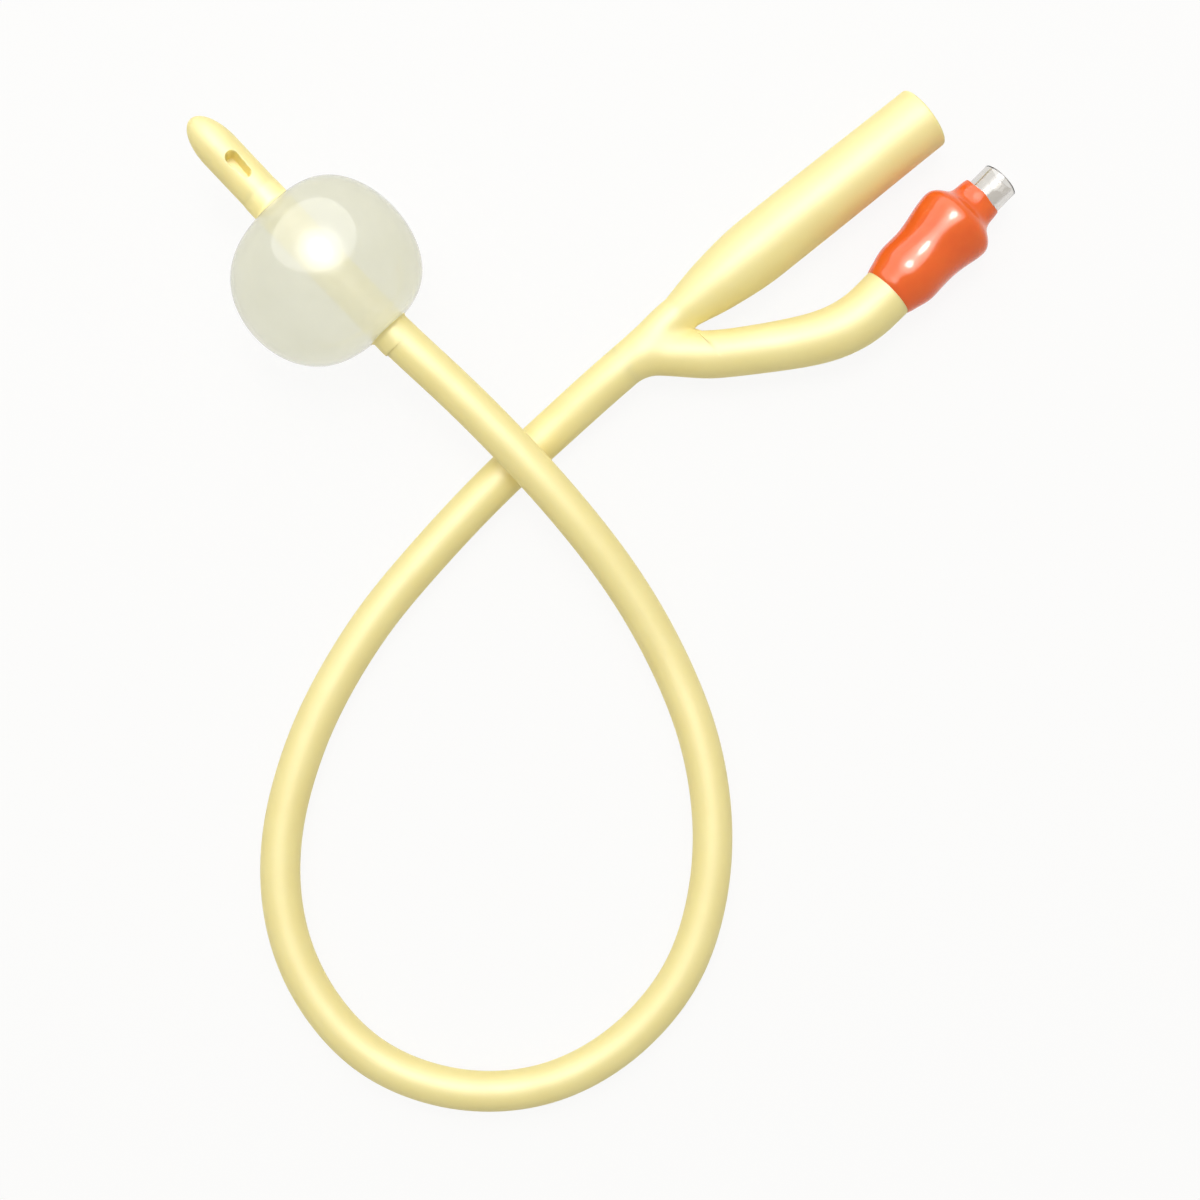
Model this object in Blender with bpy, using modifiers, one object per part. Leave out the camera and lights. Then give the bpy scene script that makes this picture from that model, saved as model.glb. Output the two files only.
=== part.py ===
# A two-way Foley urinary catheter of dipped latex, lying on a table in a loose loop.
#
# Metres, +Z up, resting on z = 0. +X runs along the drainage funnel, out of its mouth, and the origin is
# below the middle of the whole outline. The body is one dipped piece: tip, shaft, hub, funnel and side arm.
# Its shaft is described by its distance from the tip. The valve in the side arm is a stack of turned pieces
# on one axis, described by the distance from the start of the orange sleeve.

import math

import bmesh
import bpy
import numpy as np
from mathutils import Matrix, Vector

# Shaft. 18 French is 6 mm across.
SHAFT_RADIUS = 0.0030
SHAFT_RADIUS_AT_HUB = 0.0032
SHAFT_THICKENING = 0.070
NOSE_LENGTH = 0.0060
RING_SPACING = 0.0052
RING_SIDES = 22

# The two lumens lie side by side across the shaft, with a thin web between them.
DRAIN_RADIUS = 0.0015
DRAIN_OFFSET = 0.00035
DRAIN_START = 0.0062
INFLATION_RADIUS = 0.00035
LUMEN_WEB = 0.00025

# Drainage eyes, one on each side of the tip.
EYE_LENGTH = 0.0051
EYE_WIDTH = 0.0017
FIRST_EYE_AT = 0.0098
SECOND_EYE_AT = 0.0112
EYE_TURN = math.radians(11)

# Balloon, filled. Its cuffs lie in a shallow seat in the shaft, and it bulges more to the shaft's right.
BALLOON_AT = 0.0290
BALLOON_SIDEWAYS = 0.00075
BALLOON_RADIUS = 0.01385
BALLOON_HALF_LENGTH = 0.0121
BALLOON_FULLNESS = 0.68
BALLOON_WALL = 0.0003
CUFF_LENGTH = 0.0026
BOND_GAP = 0.00025
END_GAP = 0.0003
INFLATION_HOLE_RADIUS = 0.0004

# Lie of the shaft: the balloon strand crosses over the funnel strand, then comes down to the table.
CROSSING_AT = 0.0672
CROSSING_GAP = 0.00045
DOWN_RAMP = 0.045
HUB_RAMP = 0.018

# Route of the shaft as seen from above, tip first, chosen by hand.
SHAFT_ROUTE = [
    (-0.0091, 0.0740), (-0.0078, 0.0587), (-0.0065, 0.0434), (-0.0053, 0.0316),
    (-0.0038, 0.0217), (-0.0027, 0.0129), (-0.0019, 0.0039), (-0.0015, -0.0050),
    (-0.0016, -0.0141), (-0.0025, -0.0233), (-0.0043, -0.0324), (-0.0071, -0.0413),
    (-0.0112, -0.0496), (-0.0166, -0.0571), (-0.0233, -0.0635), (-0.0312, -0.0684),
    (-0.0401, -0.0709), (-0.0493, -0.0711), (-0.0583, -0.0688), (-0.0661, -0.0640),
    (-0.0724, -0.0570), (-0.0763, -0.0487), (-0.0773, -0.0396), (-0.0758, -0.0306),
    (-0.0719, -0.0222), (-0.0660, -0.0149), (-0.0588, -0.0090), (-0.0508, -0.0042),
    (-0.0423, -0.0005), (-0.0335, 0.0023), (-0.0245, 0.0042), (-0.0153, 0.0057),
    (-0.0062, 0.0068), (0.0029, 0.0075), (0.0120, 0.0080), (0.0203, 0.0083),
]

# Hub and funnel. Distances along the funnel are measured from the crotch between funnel and arm.
CROTCH_X = 0.0298
FUNNEL_Y = 0.00935
FUNNEL_LENGTH = 0.0472
FUNNEL_RADIUS = 0.00515
FUNNEL_NECK_RADIUS = 0.0028
FUNNEL_MOUTH_RADIUS = 0.00485
FUNNEL_FLARE = 0.016
FUNNEL_TAPER_FROM = 0.024
FUNNEL_WALL = 0.0012
FUNNEL_RIM_CHAMFER = 0.0003

# Where funnel and arm are still one, the hub's skin is worked out from both and rounds the corner between.
CROTCH_Y = 0.0061
CROTCH_ROUNDING = 0.0005
CORNER_FILL = 0.0014
HUB_LEAD = 0.0022
HUB_SPACING = 0.0012
HUB_REACH = 0.011

# Side arm, as seen from above, from inside the hub on.
ARM_ROUTE = [
    (0.0223, 0.0076), (0.0256, 0.00495), (0.02905, 0.00205), (0.0347, -0.00165),
    (0.04045, -0.00495), (0.0458, -0.00735), (0.0508, -0.00825),
]
ARM_RADIUS_AT_CROTCH = 0.00345
ARM_RADIUS = 0.0040
ARM_LUMEN_RADIUS = 0.0012
ARM_TURN_IN = 0.006
ARM_SPACING = 0.0025
NECK_RADIUS = 0.0033
NECK_LENGTH = 0.0023
NECK_BORE_RADIUS = 0.0023
NECK_BORE_DEPTH = 0.0060

# Valve axis: where the sleeve starts, and its heading from +X.
VALVE_X = 0.0564
VALVE_Y = -0.0078
VALVE_HEADING = math.radians(6.4)
TURNED_SIDES = 24
BALLOON_SIDES = 32
FIT_GAP = 0.0003

# Orange sleeve.
SLEEVE_LENGTH = 0.0195
SLEEVE_WALL = 0.00055
SLEEVE_COLLAR_WALL = 0.0003
SLEEVE_GAP = 0.0002

# Clear housing with its Luer port. The socket narrows by 6 % on diameter, the standard Luer taper.
PORT_RADIUS = 0.00285
PORT_LENGTH = 0.0040
PORT_CHAMFER = 0.0002
LUER_MOUTH_RADIUS = 0.00215
LUER_TAPER = 0.03
LUER_DEPTH = 0.0079
SEAT_THICKNESS = 0.0016
SEAT_HOLE_RADIUS = 0.0012
CHAMBER_RADIUS = 0.0030
HOUSING_RADIUS = 0.0042
SHOULDER_RADIUS = 0.0053
SHOULDER_LENGTH = 0.0014
SHOULDER_SLOPE = 0.0038
PORT_SLOPE = 0.0024

# Insert: flange, barbed tail in the arm, spigot in the housing, and a bore right through.
FLANGE_RADIUS = 0.0043
FLANGE_THICKNESS = 0.0016
TAIL_RADIUS = 0.0017
TAIL_LENGTH = 0.0050
BARB_RADIUS = 0.0020
BARB_COUNT = 2
SPIGOT_LENGTH = 0.0033
INSERT_BORE_RADIUS = 0.00125

# Plunger, seal and spring.
PIN_RADIUS = 0.0008
PIN_REACH = 0.0020
HEAD_RADIUS = 0.0023
HEAD_THICKNESS = 0.0009
STEM_RADIUS = 0.0009
STEM_CLEAR = 0.0005
SEAL_GAP = 0.0002
SEAL_THICKNESS = 0.0007
SPRING_RADIUS = 0.00175
SPRING_WIRE_RADIUS = 0.00018
SPRING_TURNS = 5
SPRING_POINTS_PER_TURN = 10
SPRING_END_GAP = 0.00015

# Heights that follow from the sizes above: everything rests on z = 0.
FUNNEL_Z = FUNNEL_RADIUS
VALVE_Z = SHOULDER_RADIUS + SLEEVE_GAP + SLEEVE_WALL
CROSSING_Z = 2 * SHAFT_RADIUS_AT_HUB + CROSSING_GAP + SHAFT_RADIUS
SEAT_RADIUS = SHAFT_RADIUS - BALLOON_WALL - BOND_GAP
SEAT_HALF_LENGTH = BALLOON_HALF_LENGTH + CUFF_LENGTH + END_GAP
INFLATION_OFFSET = DRAIN_OFFSET - DRAIN_RADIUS - LUMEN_WEB - INFLATION_RADIUS
UP = np.array([0.0, 0.0, 1.0])
ALONG_X = np.array([1.0, 0.0, 0.0])

# Stations on the valve axis.
FLANGE_START = NECK_LENGTH + FIT_GAP
FLANGE_END = FLANGE_START + FLANGE_THICKNESS
HOUSING_START = FLANGE_END + FIT_GAP
SPIGOT_END = FLANGE_END + SPIGOT_LENGTH
PORT_END = SLEEVE_LENGTH + PORT_LENGTH
LUER_END = PORT_END - LUER_DEPTH
SEAT_FACE = LUER_END - SEAT_THICKNESS
SEAL_TOP = SEAT_FACE - SEAL_GAP
HEAD_TOP = SEAL_TOP - SEAL_THICKNESS - SEAL_GAP
HEAD_BOTTOM = HEAD_TOP - HEAD_THICKNESS
SHOULDER_END = SEAT_FACE + SHOULDER_LENGTH / 4
SHOULDER_START = SHOULDER_END - SHOULDER_LENGTH
WAIST_END = SHOULDER_START - SHOULDER_SLOPE
PORT_START = SHOULDER_END + PORT_SLOPE


def clear_scene():
    for old in list(bpy.data.objects):
        bpy.data.objects.remove(old, do_unlink=True)


def new_collection(name):
    collection = bpy.data.collections.new(name)
    bpy.context.scene.collection.children.link(collection)
    return collection


def material(name, color, roughness, metallic=0.0, alpha=1.0):
    made = bpy.data.materials.new(name)
    made.use_nodes = True
    shader = made.node_tree.nodes["Principled BSDF"]
    shader.inputs["Base Color"].default_value = (*color, 1.0)
    shader.inputs["Roughness"].default_value = roughness
    shader.inputs["Metallic"].default_value = metallic
    shader.inputs["Alpha"].default_value = alpha
    return made


def unit(vector):
    return vector / np.linalg.norm(vector)


def ease(share):
    """Rise from 0 to 1 with level ends."""
    share = np.clip(share, 0.0, 1.0)
    return share * share * (3.0 - 2.0 * share)


def mesh_object(name, verts, faces, collection, look=None):
    mesh = bpy.data.meshes.new(name)
    mesh.from_pydata([tuple(float(c) for c in v) for v in verts], [], faces)
    made = bpy.data.objects.new(name, mesh)
    collection.objects.link(made)
    if look:
        mesh.materials.append(look)
    return made


def smooth_shaded(made, angle=math.radians(40)):
    made.data.shade_smooth()
    made.data.set_sharp_from_angle(angle=angle)


def cubic_through(points, samples=1500):
    """Points along the natural cubic spline through the given ones, and their distances from its start."""
    points = np.array(points, dtype=float)
    knots = np.concatenate([[0.0], np.cumsum(np.linalg.norm(np.diff(points, axis=0), axis=1))])
    spans = np.diff(knots)
    size = len(points)
    matrix = np.eye(size)
    right = np.zeros_like(points)
    for i in range(1, size - 1):
        matrix[i, i - 1 : i + 2] = spans[i - 1], 2 * (spans[i - 1] + spans[i]), spans[i]
        right[i] = 6 * ((points[i + 1] - points[i]) / spans[i] - (points[i] - points[i - 1]) / spans[i - 1])
    bends = np.linalg.solve(matrix, right)
    where = np.linspace(0.0, knots[-1], samples)
    k = np.clip(np.searchsorted(knots, where) - 1, 0, size - 2)
    span = spans[k][:, None]
    after = (where - knots[k])[:, None]
    before = span - after
    curve = (bends[k] * before**3 + bends[k + 1] * after**3) / (6 * span)
    curve += (points[k] / span - bends[k] * span / 6) * before
    curve += (points[k + 1] / span - bends[k + 1] * span / 6) * after
    distance = np.concatenate([[0.0], np.cumsum(np.linalg.norm(np.diff(curve, axis=0), axis=1))])
    return curve, distance


def read_curve(curve, distance, at):
    """Points of a sampled curve at the given distances along it."""
    return np.column_stack([np.interp(at, distance, curve[:, axis]) for axis in range(curve.shape[1])])


def shaft_radius(at):
    """Outer radius of the plain shaft at a distance from the tip."""
    share = ease((at - (SHAFT_END - SHAFT_THICKENING)) / SHAFT_THICKENING)
    return SHAFT_RADIUS + (SHAFT_RADIUS_AT_HUB - SHAFT_RADIUS) * share


def nose_radius(at):
    """The tip is half an ellipsoid as long as the nose."""
    share = np.clip(at / NOSE_LENGTH, 0.0, 1.0)
    return SHAFT_RADIUS * math.sqrt(1.0 - (1.0 - share) ** 2)


def shaft_height(at):
    """Height of the shaft's axis: on the balloon, over the other strand, on the table, up to the hub."""
    slope = (BALLOON_RADIUS - CROSSING_Z) / (CROSSING_AT - BALLOON_AT)
    past = at - CROSSING_AT
    if past < 0:
        return CROSSING_Z - slope * past
    rest = shaft_radius(at)
    if past < DOWN_RAMP:
        share = past / DOWN_RAMP
        from_crossing = (1 + 2 * share) * (1 - share) ** 2
        from_slope = share * (1 - share) ** 2
        return rest + (CROSSING_Z - rest) * from_crossing - slope * DOWN_RAMP * from_slope
    return rest + (FUNNEL_Z - rest) * ease((at - SHAFT_END + HUB_RAMP) / HUB_RAMP)


def shaft_points(at):
    """Points on the shaft's axis at the given distances from the tip."""
    flat = read_curve(*SHAFT_CURVE, at)
    return np.column_stack([flat, [shaft_height(distance) for distance in at]])


def shaft_forward(at):
    """Heading of the shaft, away from the tip."""
    step = 0.0002
    ahead, behind = shaft_points([min(at + step, SHAFT_END), max(at - step, 0.0)])
    return unit(ahead - behind)


def section_axes(forward):
    """Level axis to the left of a heading, and the axis square to both."""
    left = unit(np.cross(UP, forward))
    return left, np.cross(forward, left)


def oval_ring(centre, forward, half_width, half_height, seam=90.0):
    """Ring that starts at its top seam, passes the left side to the bottom seam, and returns on the right."""
    left, up = section_axes(forward)
    half = RING_SIDES // 2
    down = np.linspace(seam, -seam, half + 1)[:-1]
    back = np.linspace(-seam, seam - 360, half + 1)[:-1]
    turn = np.radians(np.concatenate([down, back]))[:, None]
    return centre + left * np.cos(turn) * half_width + up * np.sin(turn) * half_height


def funnel_radius(at):
    """Outer radius of the funnel at a distance from the crotch."""
    flared = math.sin(math.pi / 2 * min(at / FUNNEL_FLARE, 1.0))
    wide = FUNNEL_NECK_RADIUS + (FUNNEL_RADIUS - FUNNEL_NECK_RADIUS) * flared
    taper = ease((at - FUNNEL_TAPER_FROM) / (FUNNEL_LENGTH - FUNNEL_TAPER_FROM))
    return wide - (FUNNEL_RADIUS - FUNNEL_MOUTH_RADIUS) * float(taper)


def arm_radius(at):
    """Outer radius of the arm at a distance from the crotch, which is below zero inside the hub."""
    joined = min(1.0 + at / ARM_CROTCH, 1.0)
    start = SHAFT_RADIUS_AT_HUB + (ARM_RADIUS_AT_CROTCH - SHAFT_RADIUS_AT_HUB) * joined
    return start + (ARM_RADIUS - ARM_RADIUS_AT_CROTCH) * float(ease(at / ARM_END))


def arm_point(at):
    """Point on the arm's axis at a distance from the crotch."""
    x, y = read_curve(*ARM_CURVE, [ARM_CROTCH + at])[0]
    return np.array([x, y, FUNNEL_Z + (VALVE_Z - FUNNEL_Z) * float(ease(at / ARM_END))])


def arm_forward(at):
    step = 0.0002
    return unit(arm_point(at + step) - arm_point(at - step))


def funnel_balls():
    """Balls strung closely along the end of the trunk and along the funnel: their centres and radii."""
    trunk = np.linspace(SHAFT_END - 3 * HUB_LEAD, SHAFT_END, 60)
    start = shaft_points([SHAFT_END])[0]
    centres = list(shaft_points(trunk))
    radii = [float(shaft_radius(at)) for at in trunk]
    for x in np.linspace(start[0], CROTCH_X + FUNNEL_FLARE, 260)[1:]:
        share = min((x - start[0]) / (CROTCH_X - start[0]), 1.0)
        centres.append([x, start[1] + (FUNNEL_Y - start[1]) * float(ease(share)), FUNNEL_Z])
        joined = SHAFT_RADIUS_AT_HUB + (FUNNEL_NECK_RADIUS - SHAFT_RADIUS_AT_HUB) * share
        radii.append(joined if share < 1.0 else funnel_radius(x - CROTCH_X))
    return np.array(centres), np.array(radii)


def arm_balls():
    """Balls strung along the arm from its start inside the hub."""
    along = np.linspace(-ARM_CROTCH, FUNNEL_FLARE, 260)
    return np.array([arm_point(at) for at in along]), np.array([arm_radius(at) for at in along])


def skin_distance(points):
    """Distance from each point to the hub's skin, below zero inside, with the inner corner filled."""
    near = []
    for centres, radii in (FUNNEL_BALLS, ARM_BALLS):
        near.append((np.linalg.norm(points[:, None] - centres, axis=2) - radii).min(axis=1))
    agreement = np.maximum(1.0 - np.abs(near[0] - near[1]) / CORNER_FILL, 0.0)
    return np.minimum(*near) - agreement**2 * CORNER_FILL / 4


def on_skin(centre, rays):
    """Where rays from a point inside meet the hub's skin: each walks on by the distance still left."""
    rays = rays / np.linalg.norm(rays, axis=1)[:, None]
    reach = np.zeros(len(rays))
    for _ in range(40):
        reach -= skin_distance(centre + rays * reach[:, None])
    return centre + rays * reach[:, None]


def hub_ring(centre, forward, seam):
    """Ring on the hub's skin round a point inside it, in the order of an oval ring."""
    return on_skin(centre, oval_ring(np.zeros(3), forward, 1.0, 1.0, seam))


def web_seam(top, centre):
    """Angle at which the web's top is seen from a centre beside it, from its left side up."""
    return math.degrees(math.atan2(top[2] - centre[2], top[1] - centre[1]))


def crotch_edge():
    """How far the joined hub reaches along X, between funnel and arm."""
    x = np.linspace(CROTCH_X - HUB_LEAD, CROTCH_X + HUB_LEAD, 201)
    line = np.column_stack([x, np.full(len(x), CROTCH_Y), np.full(len(x), FUNNEL_Z)])
    return float(x[np.argmax(skin_distance(line) > 0)])


def trunk_rings():
    """Rings from the nose to the start of the hub."""
    seat = [BALLOON_AT - SEAT_HALF_LENGTH, BALLOON_AT + SEAT_HALF_LENGTH]
    nose = [(at, nose_radius(at)) for at in NOSE_LENGTH * np.array([0.03, 0.12, 0.28, 0.5, 0.75])]
    steps = [(seat[0], SHAFT_RADIUS), (seat[0], SEAT_RADIUS), (seat[1], SEAT_RADIUS), (seat[1], SHAFT_RADIUS)]
    end = SHAFT_END - HUB_LEAD
    count = round((end - seat[1]) / RING_SPACING)
    plain = [(at, float(shaft_radius(at))) for at in np.linspace(seat[1], end, count + 1)[1:]]
    rings = []
    for at, radius in [*nose, (NOSE_LENGTH, SHAFT_RADIUS), *steps, *plain]:
        rings.append(oval_ring(shaft_points([at])[0], shaft_forward(at), radius, radius))
    return rings


def hub_rings():
    """Rings where funnel and arm are joined, and the web's middle and top at the last of them.

    Each ring's left half is seen from the funnel's axis and its right half from the arm's, and both axes
    part from the trunk's, as the web's middle does.
    """
    start = shaft_points([SHAFT_END - HUB_LEAD])[0]
    end = crotch_edge() - CROTCH_ROUNDING
    arm_y = float(np.interp(end, ARM_CURVE[0][:, 0], ARM_CURVE[0][:, 1]))
    half = RING_SIDES // 2
    rings = []
    for share in np.linspace(0.0, 1.0, round((end - start[0]) / HUB_SPACING) + 1)[1:]:
        x = start[0] + (end - start[0]) * share
        z = start[2] + (FUNNEL_Z - start[2]) * share
        parted = [start[1] + (y - start[1]) * float(ease(share)) for y in (FUNNEL_Y, CROTCH_Y, arm_y)]
        funnel_centre, middle, arm_centre = [np.array([x, y, z]) for y in parted]
        top = on_skin(middle, UP[None])[0]
        left = hub_ring(funnel_centre, ALONG_X, web_seam(top, funnel_centre))[:half]
        right = hub_ring(arm_centre, ALONG_X, web_seam(top, arm_centre))[half:]
        rings.append(np.vstack([left, right]))
    return rings, middle, top


def saddle_points(centre):
    """Points round the inside of the crotch, from the top of the last joined ring to its bottom."""
    turn = np.linspace(math.pi / 2, -math.pi / 2, RING_SIDES // 2 + 1)[1:-1]
    return on_skin(centre, np.column_stack([np.cos(turn), np.zeros(len(turn)), np.sin(turn)]))


def funnel_rings(first, web_top):
    """Rings of the funnel from the crotch on. The seam climbs from the web to the top of the funnel."""
    rings = []
    at_web = web_seam(web_top, np.array([CROTCH_X, FUNNEL_Y, FUNNEL_Z]))
    rim = FUNNEL_LENGTH - FUNNEL_RIM_CHAMFER
    stations = list(np.linspace(first, HUB_REACH, round((HUB_REACH - first) / HUB_SPACING) + 1)[:-1])
    stations += list(np.linspace(HUB_REACH, FUNNEL_TAPER_FROM, 5))
    stations += list(np.linspace(FUNNEL_TAPER_FROM, rim, 5)[1:])
    for at in stations:
        seam = at_web + (90.0 - at_web) * float(ease((at - first) / FUNNEL_FLARE))
        centre = np.array([CROTCH_X + at, FUNNEL_Y, FUNNEL_Z])
        if at < HUB_REACH:
            rings.append(hub_ring(centre, ALONG_X, seam))
        else:
            rings.append(oval_ring(centre, ALONG_X, funnel_radius(at), funnel_radius(at), seam))
    mouth = np.array([CROTCH_X + FUNNEL_LENGTH, FUNNEL_Y, FUNNEL_Z])
    radius = funnel_radius(FUNNEL_LENGTH) - FUNNEL_RIM_CHAMFER
    rings.append(oval_ring(mouth, ALONG_X, radius, radius))
    return rings


def arm_rings(first, web_top):
    """Rings of the side arm from the crotch on, ending in the neck that the sleeve is pulled over."""
    rings = []
    at_web = web_seam(web_top, arm_point(0.0))
    end = ARM_END - FIT_GAP
    stations = list(np.linspace(first, HUB_REACH, round((HUB_REACH - first) / HUB_SPACING) + 1)[:-1])
    stations += list(np.linspace(HUB_REACH, end, round((end - HUB_REACH) / ARM_SPACING) + 1))
    for at in stations:
        turned_in = float(ease(at / ARM_TURN_IN))
        forward = unit(ALONG_X * (1 - turned_in) + arm_forward(at) * turned_in)
        seam = at_web + (90.0 - at_web) * float(ease((at - first) / FUNNEL_FLARE))
        if at < HUB_REACH:
            rings.append(hub_ring(arm_point(at), forward, seam))
        else:
            rings.append(oval_ring(arm_point(at), forward, arm_radius(at), arm_radius(at), seam))
    for at in (-FIT_GAP, NECK_LENGTH):
        rings.append(oval_ring(VALVE_POINT + VALVE_WAY * at, VALVE_WAY, NECK_RADIUS, NECK_RADIUS))
    return rings


def dipped_body(collection, look):
    """The latex piece, before its lumens are cut: rings skinned from the tip to the two open ends."""
    verts = [shaft_points([0.0])[0]]
    faces = []

    def add(points):
        first = len(verts)
        verts.extend(points)
        return list(range(first, first + len(points)))

    def skin(low, high):
        for i in range(len(low)):
            j = (i + 1) % len(low)
            faces.append((low[i], high[i], high[j], low[j]))

    joined, web, web_top = hub_rings()
    trunk = [add(ring) for ring in trunk_rings() + joined]
    for i in range(RING_SIDES):
        faces.append((0, trunk[0][i], trunk[0][(i + 1) % RING_SIDES]))
    for low, high in zip(trunk, trunk[1:]):
        skin(low, high)
    last = trunk[-1]
    half = RING_SIDES // 2
    first = web[0] + 2 * CROTCH_ROUNDING - CROTCH_X
    saddle = add(saddle_points(web))
    openings = [
        (last[: half + 1] + saddle[::-1], funnel_rings(first, web_top)),
        ([last[0], *saddle, *last[half:]], arm_rings(first, web_top)),
    ]
    for ring, onward in openings:
        for points in onward:
            following = add(points)
            skin(ring, following)
            ring = following
        faces.append(tuple(ring))
    body = mesh_object("catheter_body", verts, faces, collection, look)
    built = bmesh.new()
    built.from_mesh(body.data)
    bmesh.ops.recalc_face_normals(built, faces=built.faces)
    built.to_mesh(body.data)
    built.free()
    return body


def tube_mesh(name, points, radii, collection, look=None, bevel_resolution=2):
    """A mesh made from a poly curve with a radius at each point and filled caps."""
    curve = bpy.data.curves.new(name, "CURVE")
    curve.dimensions = "3D"
    curve.bevel_depth = max(radii)
    curve.bevel_resolution = bevel_resolution
    curve.use_fill_caps = True
    spline = curve.splines.new("POLY")
    spline.points.add(len(points) - 1)
    for spot, place, radius in zip(spline.points, points, radii):
        spot.co = (*[float(c) for c in place], 1.0)
        spot.radius = radius / max(radii)
    guide = bpy.data.objects.new(name + "_curve", curve)
    collection.objects.link(guide)
    bpy.context.view_layer.update()
    mesh = bpy.data.meshes.new_from_object(guide.evaluated_get(bpy.context.evaluated_depsgraph_get()))
    built = bmesh.new()
    built.from_mesh(mesh)
    bmesh.ops.remove_doubles(built, verts=built.verts, dist=0.000001)
    bmesh.ops.recalc_face_normals(built, faces=built.faces)
    built.to_mesh(mesh)
    built.free()
    made = bpy.data.objects.new(name, mesh)
    made.matrix_world = guide.matrix_world.copy()
    collection.objects.link(made)
    bpy.data.objects.remove(guide, do_unlink=True)
    if look:
        mesh.materials.append(look)
    return made


def turned(name, outline, collection, sides, look=None, parent=None):
    """A profile of (radius, height) points turned about local Z. One that leaves the axis is a ring."""
    closed = outline[0][0] > 0 or outline[-1][0] > 0
    count = len(outline)
    edges = [(i, (i + 1) % count) for i in range(count if closed else count - 1)]
    mesh = bpy.data.meshes.new(name)
    mesh.from_pydata([(radius, 0.0, height) for radius, height in outline], edges, [])
    made = bpy.data.objects.new(name, mesh)
    collection.objects.link(made)
    screw = made.modifiers.new("Turn", "SCREW")
    screw.axis = "Z"
    screw.angle = 2 * math.pi
    screw.steps = sides
    screw.render_steps = sides
    screw.use_merge_vertices = True
    screw.merge_threshold = 0.000005
    screw.use_smooth_shade = False
    if parent:
        made.parent = parent
    if look:
        mesh.materials.append(look)
    return made


def on_axis(point, forward):
    """Matrix that stands local Z along a heading, with local X level."""
    left, up = section_axes(forward)
    turn = Matrix((left, up, forward)).transposed()
    return Matrix.Translation(Vector(point)) @ turn.to_4x4()


def hide_cutter(made):
    made.hide_render = True
    made.display_type = "WIRE"


def cut(target, tool):
    hide_cutter(tool)
    made = target.modifiers.new("Cut " + tool.name, "BOOLEAN")
    made.operation = "DIFFERENCE"
    made.solver = "EXACT"
    made.object = tool


def drainage_lumen(collection):
    """Cutter for the drainage lumen, from the tip to just inside the funnel's own bore."""
    count = round((SHAFT_END - DRAIN_START) / RING_SPACING)
    points = []
    for at in np.linspace(DRAIN_START, SHAFT_END, count + 1):
        left, _ = section_axes(shaft_forward(at))
        points.append(shaft_points([at])[0] + left * DRAIN_OFFSET)
    overlap = FUNNEL_FLARE / 4
    points.append(np.array([CROTCH_X, FUNNEL_Y, FUNNEL_Z]))
    points.append(np.array([CROTCH_X + overlap, FUNNEL_Y, FUNNEL_Z]))
    return tube_mesh("drainage_lumen", points, [DRAIN_RADIUS] * len(points), collection, bevel_resolution=3)


def inflation_lumen(collection):
    """Cutter for the inflation lumen: in the shaft's wall from the balloon to the hub, then up the arm."""
    start = BALLOON_AT - 2 * INFLATION_HOLE_RADIUS
    count = round((SHAFT_END - start) / RING_SPACING)
    points = []
    radii = []
    for at in np.linspace(start, SHAFT_END, count + 1):
        left, _ = section_axes(shaft_forward(at))
        points.append(shaft_points([at])[0] + left * INFLATION_OFFSET)
        radii.append(INFLATION_RADIUS)
    hub_start = points[-1]
    crotch = arm_point(0.0)
    for share in (0.35, 0.7):
        sag = np.array([0.0, INFLATION_OFFSET * share * (1 - share), 0.0])
        points.append(hub_start + (crotch - hub_start) * share + sag)
        radii.append(INFLATION_RADIUS + (ARM_LUMEN_RADIUS - INFLATION_RADIUS) * share)
    end = ARM_END - NECK_BORE_DEPTH / 2
    for at in np.linspace(0.0, end, round(end / ARM_SPACING) + 1):
        points.append(arm_point(at))
        radii.append(ARM_LUMEN_RADIUS)
    return tube_mesh("inflation_lumen", points, radii, collection)


def funnel_bore(collection):
    """Cutter for the funnel: the same flare as outside, less the wall, and a small chamfer at the mouth."""
    straight = np.linspace(FUNNEL_TAPER_FROM, FUNNEL_LENGTH, 4)
    stations = np.concatenate([np.linspace(0.0, FUNNEL_FLARE, 7), straight])
    inside = [(funnel_radius(at) - FUNNEL_WALL, at) for at in stations]
    mouth_radius = inside[-1][0]
    inside[-1] = (mouth_radius, FUNNEL_LENGTH - FUNNEL_RIM_CHAMFER)
    top = FUNNEL_LENGTH + FUNNEL_WALL
    flared = [(mouth_radius + FUNNEL_WALL, top), (mouth_radius + FUNNEL_RIM_CHAMFER, FUNNEL_LENGTH)]
    outline = [(0.0, top), *flared, *inside[::-1], (0.0, 0.0)]
    bore = turned("funnel_bore", outline, collection, RING_SIDES)
    bore.matrix_world = on_axis((CROTCH_X, FUNNEL_Y, FUNNEL_Z), np.array([1.0, 0.0, 0.0]))
    return bore


def neck_bore(collection, valve):
    """Cutter for the bore in the arm's end that holds the barbed tail."""
    top = NECK_LENGTH + FIT_GAP
    outline = [
        (0.0, top),
        (NECK_BORE_RADIUS, top),
        (NECK_BORE_RADIUS, -NECK_BORE_DEPTH),
        (0.0, -NECK_BORE_DEPTH - NECK_BORE_RADIUS),
    ]
    return turned("neck_bore", outline, collection, RING_SIDES, parent=valve)


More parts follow.
